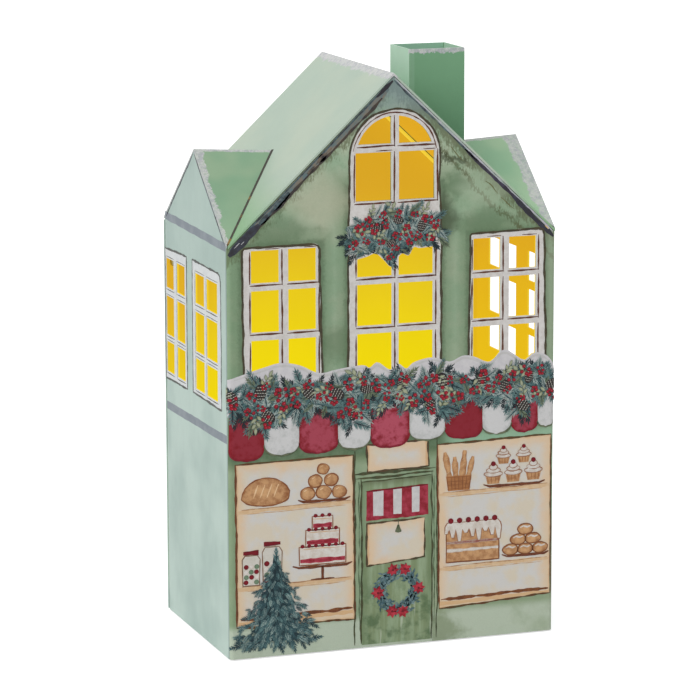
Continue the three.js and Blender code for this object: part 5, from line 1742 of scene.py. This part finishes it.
WREATH = Vector((2.3, 29.6))
WREATH_LEAVES = 560
LEAF_COLOURS = (((62, 92, 102), (104, 132, 138)), ((44, 74, 82), (82, 112, 114)),
                ((84, 110, 118), (134, 158, 158)))
# Angle and reach of each flower
FLOWERS = ((1.83, 11.2), (1.25, 11.4), (3.2, 11.0), (0.02, 11.2), (-1.36, 11.6), (-1.86, 11.4))


class BAKERY_OT_print_wreath(bpy.types.Operator):
    """Draw the wreath of leaves and red flowers on the door"""
    bl_idname = "bakery.print_wreath"
    bl_label = "Door wreath"

    def execute(self, context):
        paint, step = settings(context)
        drawing = Drawing(89)
        chance = drawing.chance

        def blade(start, tip, share, half, layer, ink, tint, dullest, brightest):
            """A pointed leaf or petal, widest at a share of its length."""
            side = beside((tip - start).normalized()) * half
            middle = start.lerp(tip, share)
            drawing.plate([start, middle - side, tip, middle + side], layer * step, ink, tint,
                          shade=chance.uniform(dullest, brightest))

        for index in range(WREATH_LEAVES):
            angle = math.tau * index / WREATH_LEAVES + chance.uniform(-0.05, 0.05)
            spot = WREATH + aimed(angle) * (9.5 + max(-2.8, min(2.8, chance.gauss(0, 1.4))))
            lean = angle + math.pi / 2 + chance.uniform(-1.1, 1.1)
            tip = spot + aimed(lean) * chance.uniform(2.0, 3.4)
            first, second = chance.choice(LEAF_COLOURS)
            blade(spot, tip, 0.45, 0.55, 5 + index % 5 * 0.6, screen(*first), screen(*second), 0.1, 0.9)
        for angle, reach in FLOWERS:
            spot = WREATH + aimed(angle) * reach
            turn = chance.uniform(0, 1)
            for petal in range(7):
                tip = spot + aimed(turn + math.tau * petal / 7) * chance.uniform(3.1, 4.0)
                blade(spot, tip, 0.5, 1.1, 9 + petal % 3 * 0.5, paint.red, screen(200, 60, 76), 0.2, 1.0)
            drawing.blob(oval(*spot, 0.6, 0.6, 8), 11 * step, screen(120, 20, 34), screen(80, 12, 24))
        finish_drawing(drawing, "front", "door_wreath",
                       painted_ink("wreath_ink", mottle=2.0, strength=0.7, edge=0.35))
        return {"FINISHED"}


# Baked goods

ICING, ICING_SHADE = screen(226, 222, 216), screen(190, 174, 158)
DEEP_RED, SUGAR, RUST = screen(92, 10, 26), screen(236, 206, 166), screen(120, 68, 38)
SWIRL_LINE, BUN_LINE = screen(150, 104, 76), screen(126, 74, 42)


def edge(drawing, outline, width, level, ink, tint=None, wobble=0.1, step=1.0, uneven=0.3):
    """A line round a shape."""
    drawing.stroke(outline, width, level, ink, tint, closed=True, wobble=wobble, step=step, uneven=uneven)


def across(drawing, u, half, v, width, level, ink, tint=None, **pen):
    """A level line, centred on a place."""
    drawing.stroke([(u - half, v), (u + half, v)], width, level, ink, tint, **pen)


def loaf(drawing, u, v, wide, high, level, paint, slashes=3):
    """A round-topped loaf with slashes."""
    outline = []
    for k in range(22):
        angle = math.tau * k / 22
        rise = math.sin(angle)
        swell, share = (1, 0.72) if rise > 0 else (0.94, 0.28)
        outline.append((u + wide / 2 * math.cos(angle) * swell, v + high * share * rise))
    drawing.blob(outline, level, paint.crust, paint.crust_dark, centre=(u - wide * 0.08, v + high * 0.2))
    edge(drawing, outline, 0.6, level + 0.02, RUST, paint.crust_dark, wobble=0.15, uneven=0.6)
    for k in range(slashes):
        at = u - wide * 0.28 + wide * 0.56 * (k + 0.5) / slashes
        drawing.stroke([(at - wide * 0.05, v + high * 0.02), (at + wide * 0.05, v + high * 0.48)], 0.8,
                       level + 0.02, SUGAR, paint.crust, step=0.8)


def bun(drawing, u, v, radius, level, paint):
    """A round bun with a drawn edge and a light patch."""
    outline = oval(u, v, radius, radius * 0.88, 16, 0, 0.12, u)
    drawing.blob(outline, level, paint.crust, paint.crust_dark, centre=(u - radius * 0.2, v + radius * 0.2))
    edge(drawing, outline, 0.5, level + 0.02, BUN_LINE, paint.crust_dark, step=0.9, uneven=0.7)
    drawing.stroke([(u - radius * 0.5, v + radius * 0.3), (u - radius * 0.05, v + radius * 0.55)], 0.7,
                   level + 0.02, screen(240, 216, 180), paint.crust, step=0.8)


def dish(drawing, u, v, wide, level, foot=0.0):
    """A shallow dish, on a stem where it has a foot."""
    dark, deep = screen(120, 66, 40), screen(88, 46, 30)
    rim = [(u + wide * share, v + rise) for share, rise in ((-0.5, 1.1), (-0.4, 0), (0.4, 0), (0.5, 1.1))]
    drawing.stroke(rim, 1.4, level, dark, deep, step=1.2, wobble=0.1)
    if foot:
        drawing.stroke([(u, v), (u, v - foot)], 1.6, level, dark, deep, step=0.8, wobble=0.1, taper=0.9)
        across(drawing, u, wide * 0.2, v - foot, 1.0, level, dark, deep, step=1)


def cupcake(drawing, u, v, wide, level, paint):
    """A cup of cake with icing and a cherry."""
    cup = upright(u, v, v + wide * 0.5, wide * 0.34, wide * 0.46)
    drawing.panel(cup, 1.5, level, paint.crust, paint.crust_dark, shade=0.55)
    for k in range(4):
        at = wide * (-0.27 + 0.18 * k)
        drawing.stroke([(u + at, v + 0.2), (u + at * 1.3, v + wide * 0.46)], 0.4, level + 0.02,
                       paint.crust_dark, step=0.8)
    for rise, share in ((0.55, 0.54), (0.76, 0.4), (0.93, 0.24)):
        swirl, top = oval(u, v + wide * rise, wide * share, wide * 0.16, 16, 0, 0.1, u), level + rise * 0.02
        drawing.blob(swirl, top + 0.02, screen(222, 219, 214), screen(190, 172, 156))
        edge(drawing, swirl, 0.35, top + 0.022, SWIRL_LINE, uneven=0.8)
    drawing.blob(oval(u, v + wide * 1.12, wide * 0.14, wide * 0.14, 10), level + 0.06, paint.red, DEEP_RED)


def berries(drawing, u, v, wide, count, half_width, half_height, points, level, paint):
    """A row of red berries over a width."""
    for k in range(count):
        at = u - wide / 2 + wide * (k + 0.5) / count
        drawing.blob(oval(at, v, half_width, half_height, points), level, paint.red, DEEP_RED)


# Width and height of each tier of the cake
TIERS = ((25, 9.5), (18, 8.5), (11, 7.0))


def layer_cake(drawing, u, v, level, paint):
    """A cake of three tiers with red bands and berries, on a footed dish."""
    shade = screen(196, 178, 160)
    dish(drawing, u, v, 32, level, foot=6.5)
    low = v + 1.2
    for tier, (wide, high) in enumerate(TIERS):
        top, half = low + high, wide / 2
        box = upright(u, low, top, half)
        drawing.panel(box, 2, level + 0.03, screen(224, 221, 216), shade, shade=0.8)
        edge(drawing, box, 0.6, level + 0.05, screen(140, 92, 62), wobble=0.2, step=1.2)
        across(drawing, u, half - 0.5, low + 2.2, 2.4, level + 0.045, paint.red, screen(190, 70, 90),
               taper=0.9, wobble=0.1, step=1.4)
        drawing.stroke([(u - half + 0.5, top - 1.2), (u + half - 0.5, top - 1.4)], 0.5, level + 0.045,
                       screen(214, 176, 136), shade, wobble=0.4, step=1.2, uneven=0.7)
        berries(drawing, u, top + 0.4, wide, 7 - 2 * tier, 1.1, 1.0, 9, level + 0.06, paint)
        low = top


def sweet_jar(drawing, u, v, wide, high, level, paint):
    """A lidded jar of red, white and green sweets."""
    kinds = ((paint.red, DEEP_RED), (ICING, ICING_SHADE), (screen(120, 142, 116), screen(80, 104, 80)))
    half = wide / 2
    side = ((0.92, 0), (1, 0.8), (0.7, 0.92))
    jar = [(u - half * 0.92, v)] + [(u + half * share, v + high * up) for share, up in side]
    jar += [(u - half * share, v + high * up) for share, up in side[:0:-1]]
    drawing.panel(jar, 2, level, screen(216, 212, 204), screen(198, 194, 182), shade=0.6)
    pitch = wide / 3.4
    for row in range(4):
        for column in range(3):
            spot = u + (column - 1) * pitch + 0.2 * (row % 2), v + pitch * (0.65 + row * 0.95)
            drawing.blob(oval(*spot, pitch * 0.48, pitch * 0.46, 10), level + 0.02,
                         *kinds[(row * 2 + column) % 3])
    edge(drawing, jar, 0.5, level + 0.04, screen(130, 100, 78), step=1.2)
    across(drawing, u, half * 0.85, v + high, 2.2, level + 0.04, paint.red, DEEP_RED, taper=0.9, step=1)


def bread_basket(drawing, u, v, wide, level, paint):
    """A wicker basket with long loaves standing in it."""
    dark = paint.crust_dark
    for k, lean in enumerate((-0.2, -0.06, 0.1, 0.24)):
        foot = Vector((u + wide * (-0.27 + k * 0.18), v + 1))
        top = foot + Vector((math.sin(lean), math.cos(lean))) * (wide * (1.42 - k % 2 * 0.22))
        drawing.stroke([foot, foot.lerp(top, 0.5), top], wide * 0.22, level + 0.01 * k, paint.crust, dark,
                       taper=0.5, wobble=0.1, step=1.2)
        for share in (0.45, 0.62, 0.79):
            notch = foot.lerp(top, share)
            drawing.stroke([notch + Vector((-0.8, -0.5)), notch + Vector((0.8, 0.6))], 0.5, level + 0.06,
                           dark, SUGAR, step=0.8)
    tub = upright(u, v, v + wide * 0.55, wide * 0.42, wide * 0.5)
    drawing.panel(tub, 2, level + 0.07, screen(186, 128, 78), dark, shade=0.5)
    for k in range(4):
        across(drawing, u, wide * 0.45, v + wide * (0.08 + 0.14 * k), 0.5, level + 0.09, dark, step=1.2,
               wobble=0.3, uneven=0.7)
    for k in range(7):
        at = -0.4 + 0.133 * k
        drawing.stroke([(u + wide * at, v + 0.4), (u + wide * at * 1.18, v + wide * 0.52)], 0.35, level + 0.1,
                       screen(112, 66, 36), step=1.2, wobble=0.2)


def iced_buns(drawing, u, v, level, paint):
    """A dish of long iced buns, three, two and one."""
    dish(drawing, u, v, 26, level)
    for row, count in enumerate((3, 2, 1)):
        for k in range(count):
            at, up = u + (k - (count - 1) / 2) * 8.2, v + 3.4 + row * 5.2
            outline = oval(at, up, 4.4, 2.8, 18, 0, 0.1, row * 3 + k)
            top = level + 0.03 + 0.02 * row
            drawing.blob(outline, top, paint.crust, paint.crust_dark)
            edge(drawing, outline, 0.5, top + 0.02, BUN_LINE)
            ripple = [(at - 2.8, up + 0.9), (at - 1, up + 1.6), (at + 1, up + 0.9), (at + 2.8, up + 1.4)]
            drawing.stroke(ripple, 1.1, top + 0.03, ICING, ICING_SHADE, step=1)


DRIPS = 9


def dripping_cake(drawing, u, v, wide, high, level, paint):
    """A tall sponge with cream between its halves, icing that runs down and berries on top."""
    half = wide / 2
    cake = upright(u, v, v + high, half)
    drawing.panel(cake, 2, level, paint.crust, paint.crust_dark, shade=0.7)
    for share, first in ((0.34, ICING), (0.56, paint.red)):
        across(drawing, u, half, v + high * share, 1.6, level + 0.02, first, ICING_SHADE, taper=0.9, step=1.4,
               wobble=0.2)
    drips = [(u - half - 0.8, v + high + 0.6)]
    for k in range(DRIPS):
        at, foot = u - half + wide * k / (DRIPS - 1), v + high * (0.82 - 0.12 * (k % 3))
        drips += [(at - 0.9, foot), (at + 0.7, foot), (at + 1.5, v + high * 0.93)]
    drips += [(u + half + 0.9, v + high + 0.8), (u + half - 0.5, v + high + 2.6),
              (u - half + 0.4, v + high + 2.4)]
    drawing.plate(drips, level + 0.03, ICING, ICING_SHADE, shade=0.8)
    edge(drawing, drips, 0.4, level + 0.035, SWIRL_LINE, uneven=0.8)
    edge(drawing, cake, 0.6, level + 0.025, RUST, wobble=0.2, step=1.2)
    berries(drawing, u, v + high + 3.4, wide, 6, 1.5, 1.5, 10, level + 0.06, paint)


# Places of the buns on their dish: across, up, and radius
BUNS = ((-46.4, 84, 3.9), (-37.8, 84.2, 4.1), (-29.4, 84, 3.8), (-42.2, 90.2, 3.7), (-33.8, 90.4, 3.8),
        (-38, 96.2, 3.2))


class BAKERY_OT_print_goods(bpy.types.Operator):
    """Draw bread and cakes of the kinds that any baker sells on the shelves of the two windows"""
    bl_idname = "bakery.print_goods"
    bl_label = "Baked goods"

    def execute(self, context):
        paint, step = settings(context)
        level = 4 * step
        ink = painted_ink("goods_ink", mottle=3.0, strength=0.55, edge=0.55)

        left = Drawing(97)
        loaf(left, -68.5, 83.4, 26, 14.5, level, paint, slashes=4)
        dish(left, -37.5, 79.8, 28, level)
        for u, v, radius in BUNS:
            bun(left, u, v, radius, level + 0.03, paint)
        layer_cake(left, -38.5, 45.6, level, paint)
        sweet_jar(left, -76.6, 38.6, 9.5, 17, level, paint)
        sweet_jar(left, -65.4, 38.6, 10.5, 21, level, paint)
        finish_drawing(left, "front", "left_shop_goods", ink)

        right = Drawing(101)
        bread_basket(right, 35.4, 79.4, 14, level, paint)
        dish(right, 66, 80.2, 34, level)
        for k, u in enumerate((54.4, 65.4, 76.6)):
            cupcake(right, u, 81.4 + 0.3 * k, 9.4, level + 0.03, paint)
        for u in (60, 71.2):
            cupcake(right, u, 91.6, 7.6, level + 0.08, paint)
        dripping_cake(right, 43.2, 41.6, 29, 18.5, level, paint)
        iced_buns(right, 72.4, 42.4, level, paint)
        finish_drawing(right, "front", "right_shop_goods", ink)
        return {"FINISHED"}


OPERATORS = [
    BAKERY_OT_stage, BAKERY_OT_paint_tin, BAKERY_OT_finish_fittings, BAKERY_OT_print_edges,
    BAKERY_OT_print_windows, BAKERY_OT_print_snow, BAKERY_OT_print_awning, BAKERY_OT_print_garland,
    BAKERY_OT_print_shop_front, BAKERY_OT_print_goods, BAKERY_OT_print_wreath, BAKERY_OT_print_tree,
]
GROUPS = (("bakery_paint", BakeryPaint), ("bakery_print", BakeryPrint), ("bakery_stage", BakeryStage))


class BAKERY_PT_sidebar(bpy.types.Panel):
    """The steps that dress the bakery, in order"""
    bl_idname = "BAKERY_PT_sidebar"
    bl_label = "Village bakery"
    bl_space_type = "VIEW_3D"
    bl_region_type = "UI"
    bl_category = "Bakery"

    def draw(self, context):
        for operator in OPERATORS:
            self.layout.operator(operator.bl_idname)
        for name, group in GROUPS:
            held = getattr(context.scene, name)
            box = self.layout.box()
            box.label(text=group.__doc__)
            for key in group.__annotations__:
                box.prop(held, key)


def register():
    for name, group in GROUPS:
        bpy.utils.register_class(group)
        setattr(bpy.types.Scene, name, PointerProperty(type=group))
    for operator in OPERATORS:
        bpy.utils.register_class(operator)
    bpy.utils.register_class(BAKERY_PT_sidebar)


def unregister():
    bpy.utils.unregister_class(BAKERY_PT_sidebar)
    for operator in reversed(OPERATORS):
        bpy.utils.unregister_class(operator)
    for name, group in reversed(GROUPS):
        delattr(bpy.types.Scene, name)
        bpy.utils.unregister_class(group)


def main():
    register()
    for operator in OPERATORS:
        group, call = operator.bl_idname.split(".")
        getattr(getattr(bpy.ops, group), call)()


if __name__ == "__main__":
    main()
